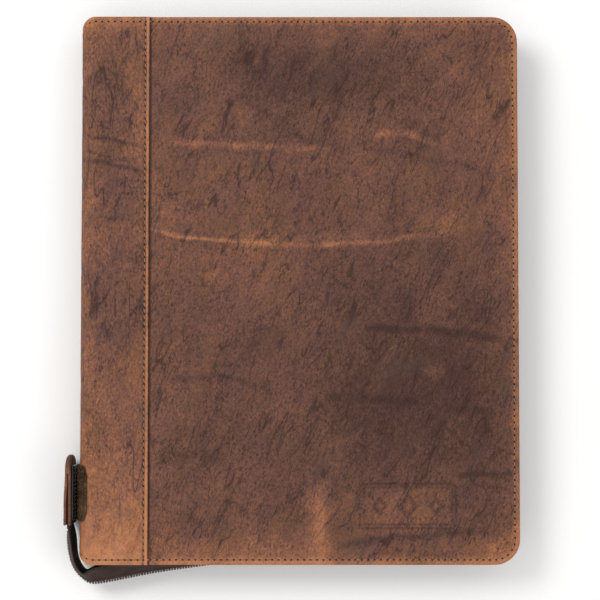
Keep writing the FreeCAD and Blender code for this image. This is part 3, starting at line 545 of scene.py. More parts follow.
class Nodes:
    """Short hand for building a material's node tree."""

    def __init__(self, name):
        self.material = bpy.data.materials.new(name)
        self.material.use_nodes = True
        self.tree = self.material.node_tree
        self.tree.nodes.clear()
        self.shader = self.new("ShaderNodeBsdfPrincipled")
        output = self.new("ShaderNodeOutputMaterial")
        self.tree.links.new(self.shader.outputs["BSDF"], output.inputs["Surface"])

    def new(self, kind, **settings):
        node = self.tree.nodes.new(kind)
        for key, value in settings.items():
            setattr(node, key, value)
        return node

    def put(self, target, value):
        if isinstance(value, Field):
            self.tree.links.new(value.socket, target)
        else:
            target.default_value = value

    def filled(self, node, output, **values):
        """Fills a node's inputs by name, with spaces written as underscores, and gives its output."""
        for key, value in values.items():
            self.put(node.inputs[key.replace("_", " ")], value)
        return Field(self, node.outputs[output])

    def attribute(self, name, output="Vector"):
        return Field(self, self.new("ShaderNodeAttribute", attribute_name=name).outputs[output])

    def split(self, vector):
        node = self.new("ShaderNodeSeparateXYZ")
        self.put(node.inputs[0], vector)
        return Field(self, node.outputs[0]), Field(self, node.outputs[1])

    def math(self, operation, a, b=0.0):
        node = self.new("ShaderNodeMath", operation=operation)
        self.put(node.inputs[0], a)
        self.put(node.inputs[1], b)
        return Field(self, node.outputs[0])

    def laid(self, vector, width, length, lean):
        """Texture place whose features are so wide and so long, the long way turned by lean from up."""
        node = self.new("ShaderNodeMapping", vector_type="TEXTURE")
        return self.filled(node, 0, Vector=vector, Scale=(width, length, width), Rotation=(0, 0, lean))

    def noise(self, vector, width, length, lean=0.0, detail=2.0, rough=0.55, distortion=0.0):
        """Clouds of features so wide and so long."""
        place = self.laid(vector, width, length, lean)
        return self.filled(self.new("ShaderNodeTexNoise"), "Fac", Vector=place, Scale=1.0, Detail=detail,
                           Roughness=rough, Distortion=distortion)

    def cells(self, vector, width, length, lean):
        """Distance from scattered points that are so far apart."""
        place = self.laid(vector, width, length, lean)
        return self.filled(self.new("ShaderNodeTexVoronoi"), "Distance", Vector=place, Scale=1.0)

    def span(self, value, low, high, out_low=0.0, out_high=1.0):
        node = self.new("ShaderNodeMapRange", interpolation_type="SMOOTHSTEP")
        return self.filled(node, "Result", Value=value, From_Min=low, From_Max=high, To_Min=out_low,
                           To_Max=out_high)

    def ramp(self, value, *stops):
        node = self.new("ShaderNodeValToRGB")
        elements = node.color_ramp.elements
        while len(elements) < len(stops):
            elements.new(0.5)
        for element, (position, colour) in zip(elements, stops):
            element.position = position
            element.color = (*colour, 1)
        return self.filled(node, "Color", Fac=value)

    def mix(self, factor, a, b, blend="MIX"):
        node = self.new("ShaderNodeMix", data_type="RGBA", blend_type=blend)
        a, b = [colour if isinstance(colour, Field) else (*colour, 1) for colour in (a, b)]
        return self.filled(node, "Result", Factor=factor, A=a, B=b)

    def finish(self, colour, roughness, height=None, height_mm=0.1, metallic=0.0, specular=0.5, sheen=0.0):
        if height is not None:
            height = self.filled(self.new("ShaderNodeBump"), "Normal", Distance=height_mm * MM, Height=height)
            self.put(self.shader.inputs["Normal"], height)
        self.filled(self.shader, "BSDF", Base_Color=colour, Roughness=roughness, Metallic=metallic,
                    Specular_IOR_Level=specular, Sheen_Weight=sheen)
        return self.material


def creases(n, hide, width, length, lean, thin, patch, patch_from):
    """Thin broken lines along the hide's lean, 0 to 1, in patches of a size."""
    field = n.noise(hide, width, length, lean, detail=1.6, rough=0.42, distortion=0.12)
    line = n.span(abs(field - 0.5), 0.0, thin, 1.0, 0.0)
    return line * n.span(n.noise(hide, patch, patch * 1.6, lean), patch_from, patch_from + 0.14)


def pits(n, hide, width, length, lean, size, crowding):
    """Small dark dents scattered over the hide, 0 to 1."""
    distance = n.cells(hide, width, length, lean)
    patch = n.span(n.noise(hide, 22, 30, lean), crowding, crowding + 0.2, 0.25, 1.0)
    return n.span(distance, size * 0.3, size, 1.0, 0.0) * patch


def hide_lines(n, hide, lines):
    """The tone of the hide's long lines, which wander a little and come and go."""
    wander = (n.noise(hide, 24, 24) - 0.5) * 6.0
    strength = n.span(n.noise(hide, 14, 14, 0.3), 0.30, 0.62, 0.45, 1.15)
    x, y = n.split(hide)
    y = y + wander
    total = 0.0
    for line in lines:
        t = n.math("DIVIDE", x - line.x0, line.x1 - line.x0)
        middle = t * (line.y1 - line.y0) + line.y0 + t * (1.0 - t) * (4 * line.rise)
        ends = n.span(t, 0.0, 0.14) * n.span(t, 0.84, 1.0, 1.0, 0.0)
        total = total + n.span(abs(y - middle), 0.0, 1.6 * line.width, line.tone, 0.0) * ends
    return total * strength


OILED_BROWN = (
    (0.0, (0.034, 0.013, 0.010)), (0.30, (0.070, 0.032, 0.024)), (0.48, (0.121, 0.054, 0.037)),
    (0.62, (0.170, 0.071, 0.043)), (0.80, (0.285, 0.114, 0.057)), (1.0, (0.440, 0.185, 0.087)))
COOL_BROWN = (0.070, 0.046, 0.041)
PURPLE_TINT, GOLD_TINT = (0.975, 0.985, 1.07), (1.015, 1.015, 0.93)


def leather(name, lift, lean, own_lines=()):
    """Oiled pull-up leather: mottled brown, pitted grain, dark leaning creases, light where it is worn.

    lift makes it lighter, lean turns its creases anticlockwise from up, and own_lines are its own marks."""
    n = Nodes(name)
    hide = n.attribute("hide")
    tone = n.attribute("tone", "Fac")
    pressed = n.attribute("pressed", "Fac")
    slow = n.noise(hide, 48, 60, lean, detail=3.0, distortion=0.3)
    bands = n.noise(hide, 8.5, 21, lean - 0.15, detail=3.0, distortion=0.5)
    mottle = n.noise(hide, 2.6, 4.0, lean + 0.2, rough=0.5, distortion=0.6)
    grain = n.noise(hide, 1.2, 1.8, lean, detail=3.0, rough=0.65)
    specks = n.noise(hide, 0.75, 0.75, rough=0.8)
    worn = n.span(tone, 0.4, 1.5, 1.0, 0.3)
    long_lines = creases(n, hide, 9, 40, lean, 0.021, 21, 0.46)
    short_lines = creases(n, hide, 4.5, 15, lean + 0.15, 0.034, 12, 0.42)
    cross_lines = creases(n, hide, 4.5, 13, lean + 1.3, 0.030, 15, 0.53)
    lines = n.math("MAXIMUM", long_lines, short_lines * 0.7)
    lines = n.math("MAXIMUM", lines, cross_lines * 0.5) * worn
    shade = creases(n, hide, 9, 40, lean, 0.09, 21, 0.50)
    large_pits = pits(n, hide, 1.8, 4.4, lean + 0.1, 0.38, 0.36) * worn
    small_pits = pits(n, hide, 1.05, 2.5, lean + 0.1, 0.44, 0.30) * worn

    level = tone + lift
    if own_lines:
        level = level + hide_lines(n, hide, own_lines)
    clouds = ((slow, 1.25), (bands, 1.1), (mottle, 1.0), (grain, 2.3), (specks, 1.9))
    for field, weight in clouds:
        level = level + (field - 0.5) * weight
    darker = ((lines, 1.0), (shade, 0.25), (large_pits, 0.8), (small_pits, 0.5), (pressed, 0.7))
    for field, weight in darker:
        level = level - field * weight
    colour = n.ramp(n.span(level, -2.6, 2.6), *OILED_BROWN)
    cool = n.span(n.noise(hide, 26, 36, lean, distortion=0.3), 0.54, 0.72)
    colour = n.mix(cool * 0.3, colour, COOL_BROWN)
    hue = n.span(n.noise(hide, 24, 34, lean, detail=3.0, distortion=0.5), 0.34, 0.66)
    colour = n.mix(1.0, colour, n.mix(hue, PURPLE_TINT, GOLD_TINT), "MULTIPLY")
    height = grain * 0.45 - large_pits * 0.5 - small_pits * 0.3 - lines * 0.7
    return n.finish(colour, n.span(level, -2.0, 2.0, 0.56, 0.70), height, 0.16, specular=0.14)


HERRINGBONE_W = 2.2           # across the cloth, from one turn of the ridges to the next
FUZZ_SIZE, WEAR_SIZE = 1 / 1.4, 1 / 0.06


def woven(name, dark, light, ridge_mm, herringbone=False):
    """Woven cloth. Its weave attribute runs along (x) and across (y) the cloth, in mm."""
    n = Nodes(name)
    place = n.attribute("weave")
    along, across = n.split(place)
    if herringbone:
        along = along + n.math("PINGPONG", across, HERRINGBONE_W)
    turns = 2 * math.pi / ridge_mm
    weft_turns, weft_height = (turns / 2, 0.2) if herringbone else (turns, 0.5)
    height = n.math("SINE", along * turns) * 0.5 + n.math("SINE", across * weft_turns) * weft_height
    fuzz = n.noise(place, FUZZ_SIZE, FUZZ_SIZE, detail=4.0, rough=0.7)
    wear = n.noise(place, WEAR_SIZE, WEAR_SIZE, detail=3.0)
    level = height * 0.35 + fuzz + (wear - 0.5) * 0.8
    colour = n.ramp(n.span(level, 0.1, 1.0), (0.0, dark), (1.0, light))
    return n.finish(colour, 0.82, height + fuzz * 0.8, 0.12, specular=0.2, sheen=0.06)


def object_place(n):
    """Texture place in mm from the mesh's own coordinates."""
    place = Field(n, n.new("ShaderNodeTexCoord").outputs["Object"])
    return n.laid(place, MM, MM, 0.0)


SLOW_SIZE = 12.5
BRUSHED = 1 / 0.06            # how much longer than wide the grain of brushed metal is


def mottled(name, dark, light, grain, roughness, bump_mm, metallic=0.0, specular=0.5, stretch=1.0):
    """Solid material with fine and slow variation of colour, gloss and surface; grain is its size in mm."""
    n = Nodes(name)
    place = object_place(n)
    fine = n.noise(place, grain, grain * stretch, detail=4.0, rough=0.65)
    slow = n.noise(place, SLOW_SIZE, SLOW_SIZE, detail=3.0, distortion=0.4)
    level = fine * 0.55 + slow * 0.45
    colour = n.ramp(n.span(level, 0.3, 0.7), (0.0, dark), (1.0, light))
    rough = n.span(level, 0.3, 0.7, roughness + 0.08, roughness - 0.08)
    return n.finish(colour, rough, fine, bump_mm, metallic=metallic, specular=specular)


PANEL_LEAN, STRIP_LEAN = -0.45, -0.14
PANEL_LIFT, STRIP_LIFT = 0.04, 0.16
LEATHER = leather("panel_leather", PANEL_LIFT, PANEL_LEAN)
FRONT_LEATHER = leather("front_leather", PANEL_LIFT, PANEL_LEAN, FRONT_LINES)
STRIP_LEATHER = leather("strip_leather", STRIP_LIFT, STRIP_LEAN)
FRONT_STRIP_LEATHER = leather("front_strip_leather", STRIP_LIFT, STRIP_LEAN, STRIP_LINES)
THREAD = mottled("waxed_thread", (0.130, 0.060, 0.032), (0.33, 0.165, 0.080), 0.35, 0.55, 0.05)
# near-black pieces at the needle holes: painted shade where the holes are
HOLE_SHADE = mottled("needle_holes", (0.010, 0.006, 0.005), (0.028, 0.016, 0.012), 0.5, 0.85, 0.05, specular=0.1)
TAPE = woven("zip_tape", (0.011, 0.006, 0.005), (0.078, 0.044, 0.033), 0.95, herringbone=True)
TEETH = mottled("zip_teeth", (0.024, 0.015, 0.012), (0.070, 0.043, 0.033), 0.6, 0.45, 0.04)
LINING = woven("lining_cloth", (0.020, 0.014, 0.010), (0.060, 0.043, 0.032), 0.7)
ELASTIC = woven("elastic_webbing", (0.010, 0.008, 0.007), (0.050, 0.040, 0.034), 0.9)
BOARD = mottled("stiffening_board", (0.16, 0.13, 0.10), (0.32, 0.27, 0.21), 0.8, 0.88, 0.08, specular=0.2)
BRASS = mottled("antique_brass", (0.050, 0.036, 0.022), (0.22, 0.16, 0.085), 1.6, 0.36, 0.02, metallic=0.95)
NICKEL = mottled("nickel_plate", (0.21, 0.21, 0.22), (0.42, 0.42, 0.42), 0.25, 0.27, 0.006, metallic=1.0,
                 stretch=BRUSHED)
LOOPS = mottled("loop_pile", (0.006, 0.003, 0.002), (0.145, 0.088, 0.046), 0.7, 0.9, 0.2, specular=0.10)
HOOKS = mottled("hook_tape", (0.008, 0.007, 0.006), (0.050, 0.044, 0.040), 0.9, 0.22, 0.03)


# ---------------------------------------------------------------- cover panels
RIM_BAND = 16.0               # how far in from the edge the shaped rim reaches
HEM_W = 5.2
HEM_CORNER = 0.15
JOIN_CORNER_R = 0.5           # plan corners where a panel runs under the spine strip
CORNER_STEPS = 14
BACK_PLANE = 430              # where the back's leather was cut from the hide, along its third axis


def panel_profile():
    """Insets and heights of a panel's rim: from the underside, over the turned hem, to the top face."""
    rim_r = HEM_DEPTH / 2
    inside = HEM_W + HEM_CORNER
    rows = [(RIM_BAND, -LEATHER_T), (6.2, -LEATHER_T), (inside, -LEATHER_T), (HEM_W, -LEATHER_T - HEM_CORNER),
            (HEM_W, -HEM_DEPTH + HEM_CORNER), (HEM_W - HEM_CORNER, -HEM_DEPTH), (4.0, -HEM_DEPTH),
            (2.6, -HEM_DEPTH)]
    for deg in range(-90, 91, 15):
        a = math.radians(deg)
        rows.append((rim_r * (1 - math.cos(a)), -rim_r + rim_r * math.sin(a)))
    insets = [*np.arange(1.5, 8.0, 0.42), *np.arange(8.4, RIM_BAND - 0.2, 1.05), RIM_BAND]
    return np.array(rows + [(inset, 0.0) for inset in insets])


def build_panel(cover):
    profile = panel_profile()
    rim_row = np.argmax(profile[:, 0] < 0.3)
    top_row = np.argmax(np.abs(profile[:, 1]) < 1e-6)

    def shape(x, y, height, row):
        z = np.full(len(x), height)
        if row >= rim_row:
            share = min((row - rim_row + 1) / (top_row - rim_row + 1), 1.0)
            z = z + share * panel_height(x, y, cover)
        under_strip = smooth(SEAM_X + 0.3, SEAM_X - 0.7, x)
        z = z * (1 - under_strip) + np.minimum(z, -STRIP_PROUD - 0.05) * under_strip
        no_hem = x < PANEL_LEFT + 7
        z = np.where(no_hem, np.maximum(z, -LEATHER_T), z)
        return np.stack([x, y, cover.z(z)], 1)

    x0, x1 = PANEL_LEFT + RIM_BAND, RIGHT - RIM_BAND
    y0, y1 = BOTTOM + RIM_BAND, TOP - RIM_BAND
    across, up = round((x1 - x0) / cover.panel_step), round((y1 - y0) / cover.panel_step)
    rect, radii = (PANEL_LEFT, RIGHT, BOTTOM, TOP), (JOIN_CORNER_R, OPEN_R, OPEN_R, JOIN_CORNER_R)
    points, distinct = [], None
    for row, (inset, height) in enumerate(profile):
        plan = rounded_loop(rect, radii, inset, (across, up, CORNER_STEPS))
        points.append(shape(plan[:, 0], plan[:, 1], height, row))
        if distinct is None:
            distinct = np.linalg.norm(plan - np.roll(plan, 1, axis=0), axis=1) > 1e-4
    x, y = np.meshgrid(np.linspace(x0, x1, across + 1), np.linspace(y0, y1, up + 1))
    points.append(shape(x.ravel(), y.ravel(), 0.0, len(profile)))
    around = len(distinct)
    faces = grid_faces(len(profile), around, closed=True)
    faces += grid_faces(up + 1, across + 1, start=len(profile) * around)
    faces.append(tuple(np.flatnonzero(distinct).tolist()))
    name = cover.name + "_panel"
    material = FRONT_LEATHER if cover.front else LEATHER
    piece = make_piece(name, np.concatenate(points), faces, material)
    x, y = np.array([corner.co[:2] for corner in piece.data.vertices]).T / MM
    pressed = motif(x, y) if cover.front else None
    paint(piece, x, y, 0 if cover.front else BACK_PLANE, panel_tone(x, y, cover), pressed)
    fit(piece, cover.body, (name + "_leather",))


# ---------------------------------------------------------------- soft sheets
FINE_STEP = 0.45
ROUNDED_STEPS = [0.0, 0.05, 0.16, 0.34, 0.6]


def edge_steps(length, near=7.0, coarse=1.3, soft_start=True, soft_end=True):
    """Positions along a sheet: close together near its edges, and very close where an edge is rounded."""
    def head(soft):
        if not soft:
            return [0.0]
        reach = min(near, length / 2 - 0.5)
        return [*ROUNDED_STEPS, *np.arange(ROUNDED_STEPS[-1] + FINE_STEP, max(reach, 0.7), FINE_STEP)]

    first, last = head(soft_start), head(soft_end)
    count = max(2, int((length - first[-1] - last[-1]) / coarse) + 1)
    middle = np.linspace(first[-1], length - last[-1], count)
    return np.concatenate([first[:-1], middle, length - np.array(last[:-1])[::-1]])


def thick_sheet(name, mid, above, below, material, cut_ends, flip=False):
    """Closed sheet from a grid of middle points and its thickness above and below them.

    A cut end is shaded flat, so that the next sheet can carry on from it without a visible line."""
    normal = np.cross(np.gradient(mid, axis=0), np.gradient(mid, axis=1))
    normal = normal / np.maximum(np.linalg.norm(normal, axis=2), 1e-9)[..., None]
    if flip:
        normal = -normal
    rows, columns = mid.shape[:2]
    count = rows * columns
    points = np.concatenate([(mid + normal * above[..., None]).reshape(-1, 3),
                             (mid - normal * below[..., None]).reshape(-1, 3)])
    faces = grid_faces(rows, columns) + grid_faces(rows, columns, start=count)
    index = np.arange(count).reshape(rows, columns)
    border = np.concatenate([index[0], index[1:, -1], index[-1, -2::-1], index[-2:0:-1, 0]]).tolist()
    first_border = len(faces)
    faces += [(a, b, b + count, a + count) for a, b in zip(border, border[1:] + border[:1])]
    piece = make_piece(name, points, faces, material, weld=False)
    last_row = first_border + columns + rows - 2
    for is_cut, start in zip(cut_ends, (first_border, last_row)):
        for face in piece.data.polygons[start:start + columns - 1]:
            face.use_smooth = not is_cut
    return piece


EDGE_ROUNDING = 0.96          # 1 would bring an edge down to nothing


def soft_sheet(name, place, along, across, thickness, material, relief=None, soft=(1, 1, 1, 1), flip=False):
    """Sheet laid by place(s, t), its edges rounded where soft says so: start and end along, then across.

    Returns the piece with each point's s and t."""
    s, t = np.meshgrid(along, across, indexing="ij")
    distances = (s - along[0], along[-1] - s, t - across[0], across[-1] - t)
    edge = np.full(s.shape, thickness)
    for is_soft, distance in zip(soft, distances):
        if is_soft:
            edge = np.minimum(edge, distance)
    half = thickness / 2
    below = half * np.sqrt(1 - EDGE_ROUNDING * (1 - np.clip(edge / half, 0, 1)) ** 2)
    above = below + relief(s, t) * smooth(0.1, 1.2, edge) if relief else below
    piece = thick_sheet(name, place(s, t), above, below, material, (not soft[0], not soft[1]), flip)
    s, t = np.tile(s.ravel(), 2), np.tile(t.ravel(), 2)
    set_attribute(piece, "weave", np.stack([s, t, np.zeros(len(s))], 1))
    return piece, s, t


# ---------------------------------------------------------------- spine strip
STRIP_FLAT = SEAM_X - (LEFT + SPINE_ROUND_R)
ARC_R = SPINE_ROUND_R - STRIP_T / 2
STRIP_ARC = ARC_R * math.pi / 2
STRIP_RUN = STRIP_FLAT + STRIP_ARC + (FRONT_Z + STRIP_PROUD - SPINE_ROUND_R - MID_Z)
STRIP_PLANE = 200


def round_spine(run, offset=0.0):
    """Point on the strip's middle surface at a run from the seam: (x, height). offset moves it outwards."""
    angle = np.clip((run - STRIP_FLAT) / ARC_R, 0, math.pi / 2)
    radius = ARC_R + offset
    cx, ch = LEFT + SPINE_ROUND_R, STRIP_PROUD - SPINE_ROUND_R
    x = np.where(run < STRIP_FLAT, SEAM_X - run, cx - radius * np.sin(angle))
    height = ch + radius * np.cos(angle) - np.maximum(run - STRIP_FLAT - STRIP_ARC, 0)
    return x, height


def strip_end_y(x):
    """Y of the strip's top end at x, which falls back at the spine's corner."""
    return TOP - corner_drop(x - LEFT, SPINE_CORNER_R)


SEAM_SWELLS = ((0.30, 1.2, 0.8), (-0.5, SEAM_STITCH_INSET, 0.5), (0.1, 4.4, 1.2))
STRIP_END_SWELLS = ((-0.26, EDGE_STITCH_INSET, 0.6), (0.1, 5.4, 1.3))


def strip_height(run, y, cover):
    """How far the strip's face stands off its nominal surface (mm)."""
    hide = hide_height(SEAM_X - run, y, cover.strip_seed)
    off = hide * smooth(3.0, 9.0, run) * smooth(STRIP_RUN, STRIP_RUN - 6, run)
    end = TOP - np.abs(y)
    return (off + swells(run, SEAM_SWELLS)) * smooth(0.4, 3.5, end) + swells(end, STRIP_END_SWELLS)


# light (+) where the folded edge and the rounding are worn, painted shade (-) in the seam's stitch groove:
# tone, distance in, width
STRIP_WEAR_AND_SHADE = ((1.5, 1.0, 0.85), (-1.2, SEAM_STITCH_INSET, 0.5), (0.35, 42, 9))


def strip_tone(run, y, cover):
    # wear on the strip, with painted shade darkening the seam's stitch groove
    tone = swells(run, STRIP_WEAR_AND_SHADE) + 0.35 * smooth(8, 1, TOP - np.abs(y))
    return tone + marks_tone(STRIP_MARKS, SEAM_X - run, y) if cover.front else tone


def bend_strip(piece, cover):
    """Passes a piece to its cover's bend, with the places where the spine's rounding meets the cover."""
    cover.bend(piece, (LEFT + SPINE_ROUND_R, cover.z(STRIP_PROUD)),
               (LEFT, cover.z(STRIP_PROUD - SPINE_ROUND_R)))


def build_strip(cover):
    def place(run, t):
        x, height = round_spine(run)
        return np.stack([x, t * strip_end_y(x) / TOP, cover.z(height)], -1)

    def relief(run, t):
        return strip_height(run, t, cover)

    along = edge_steps(STRIP_RUN, near=6, coarse=1.0, soft_end=False)
    across = edge_steps(2 * TOP) - TOP
    material = FRONT_STRIP_LEATHER if cover.front else STRIP_LEATHER
    piece, run, y = soft_sheet(cover.name + "_strip", place, along, across, STRIP_T, material, relief,
                               soft=(1, 0, 1, 1), flip=cover.front)
    on_hide = SEAM_X - run if cover.front else SEAM_X - 2 * STRIP_RUN + run
    paint(piece, on_hide, y, STRIP_PLANE, strip_tone(run, y, cover))
    nodes = ("front_spine_strip", "spine_leather") if cover.front else ("back_spine_strip",)
    fit(piece, nodes=nodes)
    bend_strip(piece, cover)


# ---------------------------------------------------------------- stitching
THREAD_R, THREAD_FLATNESS, THREAD_LIFT, THREAD_LEAN = 0.46, 0.75, 0.05, 0.1
HOLE_FLATNESS, HOLE_SINK, HOLE_GAP = 0.55, 0.03, 1.1
EDGE_HOLE, SEAM_HOLE = (1.35, 0.60), (1.7, 0.42)      # a needle hole's length and radius
SEAM_SLANT = 0.45


def sew(name, holes, ups, body, nodes=(), slant=0.0, hole_size=EDGE_HOLE):
    """Needle holes as small dark pieces of painted shade, with a separate stitch of thread between each and
    the next.
    """
    ahead = np.diff(holes, axis=0)
    tangents = unit(np.concatenate([ahead, ahead[-1:]]))
    ups = np.broadcast_to(np.asarray(ups, float), holes.shape)
    pit_places, stitch_places = [], []

    def axes(direction, up):
        return np.stack([direction, np.cross(up, direction), up], 1)

    for i, (hole, tangent, up) in enumerate(zip(holes, tangents, ups)):
        side = np.cross(up, tangent)
        turned = tangent * math.cos(slant) + side * math.sin(slant)
        pit_places.append((hole - up * HOLE_SINK, axes(turned, up)))
        if i + 1 < len(holes):
            leaned = unit(tangent + side * (THREAD_LEAN + slant / 3))
            stitch_places.append(((hole + holes[i + 1]) / 2 + up * THREAD_LIFT, axes(leaned, up)))
    length = np.linalg.norm(holes[1] - holes[0]) - HOLE_GAP
    thread = make_piece(name, *many(capsule(length, THREAD_R, THREAD_FLATNESS), stitch_places), THREAD)
    fit(thread, body, nodes)
    # each needle hole is a small dark piece set into the surface: painted shade of the hole
    pit = make_piece(name + "_holes", *many(capsule(*hole_size, HOLE_FLATNESS), pit_places), HOLE_SHADE)
    fit(pit, body)


def build_stitching(cover):
    """Edge stitches round the open sides and over the spine's rounding, and those along the seam."""
    up = (0, 0, cover.up)
    line_start = PANEL_LEFT - 1.5
    x, y = evenly(rim_line(EDGE_STITCH_INSET, line_start, line_start), STITCH_PITCH)[0].T
    on_strip = STRIP_PROUD + strip_height(np.clip(SEAM_X - x, 0, STRIP_FLAT), y, cover)
    height = np.where(x < SEAM_X - 0.2, on_strip, panel_height(x, y, cover))
    holes = np.stack([x, y, cover.z(height)], 1)
    sew(cover.name + "_edge_stitches", holes, up, cover.body, (cover.name + "_edge_thread",))
    for end_name, sign in (("top", 1), ("bottom", -1)):
        run = STRIP_FLAT + np.arange(0.6, STRIP_ARC * 0.86, STITCH_PITCH)
        x, height = round_spine(run, STRIP_T / 2 - 0.2)
        holes = np.stack([x, sign * (strip_end_y(x) - EDGE_STITCH_INSET), cover.z(height)], 1)
        centre = np.array([LEFT + SPINE_ROUND_R, 0, cover.z(STRIP_PROUD - SPINE_ROUND_R)])
        name = cover.name + "_spine_stitches_" + end_name
        sew(name, holes, unit((holes - centre) * np.array([1, 0, 1])), None)
        for piece_name in (name, name + "_holes"):
            bend_strip(bpy.data.objects[piece_name], cover)
    end = TOP - EDGE_STITCH_INSET - 2.0
    y = np.linspace(end, -end, int(round(2 * end / STITCH_PITCH)) + 1)
    run = np.full(len(y), SEAM_STITCH_INSET)
    height = STRIP_PROUD + strip_height(run, y, cover)
    holes = np.stack([SEAM_X - run, y, cover.z(height)], 1)
    sew(cover.name + "_seam_stitches", holes, up, cover.body, (cover.name + "_seam_thread",),
        slant=SEAM_SLANT, hole_size=SEAM_HOLE)


# ---------------------------------------------------------------- zip: the line of its ridge and free edges
CHAIN_INSET = 4.8
TOOTH_PITCH = 3.5
TOOTH_ROOT = 1.0
FIRST_TOOTH_X = -89.5
TAPE_T = 0.8
CORD = (0.55, 0.72, 0.66, 0.3)                   # half thickness of the tape's last columns
FLANGE_H = LEATHER_T + 1.0 + TAPE_T / 2          # the flange's middle, below a cover's outer face
SEWN_H = 3.35                                    # where the wall starts, below a cover's outer face
CHAIN_Y = BOTTOM + CHAIN_INSET
SLOPE_X0, SLOPE_X1 = -123.0, -107.0              # the wall rises from the spine's end to its full height
LEAST_WALL = 0.06                                # its height at the spine's end, as a share
STATION_STEP = 30.0                              # between the first stations, where the tape is still sewn
SEWN_END, SPLIT, TAB_STATION, LAST_TOOTH = 2, 4, 9, 8.05
SEWN_END_X = -SEWN_END * STATION_STEP
TAPE_STEP = 1.6
TAPE_CUP = 0.5                                   # how far the free tape hollows between edge and cord
# the flange under the hem, out to the wall: inset, and how much deeper than its flat part
FLANGE_COLUMNS = ((1.2, 0), (2.2, 0), (3.4, 0), (4.3, 0.1), (4.68, 0.35))
LEAN_ON_COVER, LEAN_ON_SPINE = (-62, MID_Z), (-125, MID_Z)
TAB_TAPE_X = (tail_end_low[0] + tail_end_high[0]) / 2
TAB_Y = tab_low[1]
ZIP_RIDGE = cubic_through([
    (0, CHAIN_Y, MID_Z), (-30, -169.7, MID_Z), (-60, -173.4, MID_Z), (-95, -178.6, MID_Z),
    (-125, -184.4, MID_Z), (-135.2, -182.6, MID_Z), (-142.0, -174.9, MID_Z), (-145.4, -162.5, MID_Z),
    (-145.8, -153.5, MID_Z), (TAB_TAPE_X, TAB_Y, MID_Z)])
TAPE_EDGES = {
    "front": cubic_through([
        (0, CHAIN_Y, 27.65), (-30, CHAIN_Y, 27.65), (-60, CHAIN_Y, 27.65), (-95, -169.4, 26.9),
        (-126.3, -174.2, 25.6), (-135.2, -178.2, 28.2), (-140.0, -171.9, 29.0), (-142.1, -163.0, 29.4),
        (-143.3, -154.5, 29.8), (TAB_TAPE_X, TAB_Y, 30.0)]),
    "back": cubic_through([
        (0, CHAIN_Y, 3.35), (-30, CHAIN_Y, 3.35), (-60, CHAIN_Y, 3.35), (-95, -169.4, 4.1),
        (-126.3, -173.8, 5.4), (-135.4, -177.6, 3.2), (-140.2, -171.3, 2.3), (-141.8, -162.4, 1.8),
        (-142.8, -154.2, 1.4), (TAB_TAPE_X, TAB_Y, 1.0)])}
WALL_STEPS = np.array([*np.linspace(0, 0.84, 8), 0.89, 0.93, 0.97, 1.0])


def tape_at(cover, u):
    """The zip's ridge at stations u, with one tape's free edge and its root beside the teeth."""
    ridge, edge = ZIP_RIDGE(u), TAPE_EDGES[cover.name](u)
    return ridge, edge, ridge + unit(edge - ridge) * TOOTH_ROOT


def bend_to_tab(piece):
    """Bakes the transform of a piece of the tail into its mesh."""
    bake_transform(piece)


def add_tape(name, mid, start_run):
    """Tape from a grid of middle points; the last columns swell into the cord beside the teeth.

    start_run is how far along the zip this length begins. Gives the piece and how far along it ends."""
    half = np.full(mid.shape[:2], TAPE_T / 2)
    half[:, 0] = TAPE_T / 5
    half[:, -len(CORD):] = CORD
    piece = thick_sheet(name, mid, half, half, TAPE, (True, True))
    run = start_run + covered(mid[:, -1])
    across = covered(mid.swapaxes(0, 1)).T
    across = across - across[:, -1:]
    along = np.broadcast_to(run[:, None], across.shape)
    weave = np.stack([along.ravel(), across.ravel(), np.zeros(across.size)], 1)
    set_attribute(piece, "weave", np.tile(weave, (2, 1)))
    return piece, run[-1]


def sewn_tape(cover):
    """The tape sewn into one cover: a flange under the hem, then the wall up to the teeth."""
    columns = []
    for inset, deeper in FLANGE_COLUMNS:
        plan = rim_line(inset, SLOPE_X0, SEWN_END_X, TAPE_STEP)
        columns.append(np.column_stack([plan, np.full(len(plan), FLANGE_H + deeper)]))
    x, y = rim_line(CHAIN_INSET, SLOPE_X0, SEWN_END_X, TAPE_STEP).T
    on_top_edge = y > TOP - 6
    slope = np.maximum(smooth(SLOPE_X0 + 0.5, SLOPE_X1, x[on_top_edge]), LEAST_WALL)
    leaning = (y < 0) & (x < 0)
    _, edge, root = tape_at(cover, -x[leaning] / STATION_STEP)
    wall_end = FRONT_Z - MID_Z - TOOTH_ROOT
    for step in WALL_STEPS:
        wall_y = y.copy()
        wall_y[leaning] = edge[:, 1] + (root[:, 1] - edge[:, 1]) * step
        rise = (wall_end - SEWN_H) * step
        depth = np.full(len(x), SEWN_H + rise)
        depth[on_top_edge] = SEWN_H + rise * slope
        columns.append(np.column_stack([x, wall_y, depth]))
    mid = np.stack(columns, 1)
    mid[..., 2] = cover.z(-mid[..., 2])
    piece, end_run = add_tape(cover.name + "_tape", mid, 0.0)
    fit(piece, cover.body, ("zip_tape_" + cover.name,))
    return end_run


def free_tape(cover, u0, u1, count):
    """Grid of middle points of the free tape between two stations of the tail."""
    u = np.linspace(u0, u1, count)
    ridge, edge, root = tape_at(cover, u)
    across = WALL_STEPS[None, :, None]
    cup = np.sin(np.pi * across) * TAPE_CUP * smooth(2.0, 3.0, u)[:, None, None]
    sideways = unit(np.cross(np.gradient(ridge, axis=0), edge - ridge))
    return edge[:, None] * (1 - across) + root[:, None] * across + sideways[:, None] * cup * cover.up


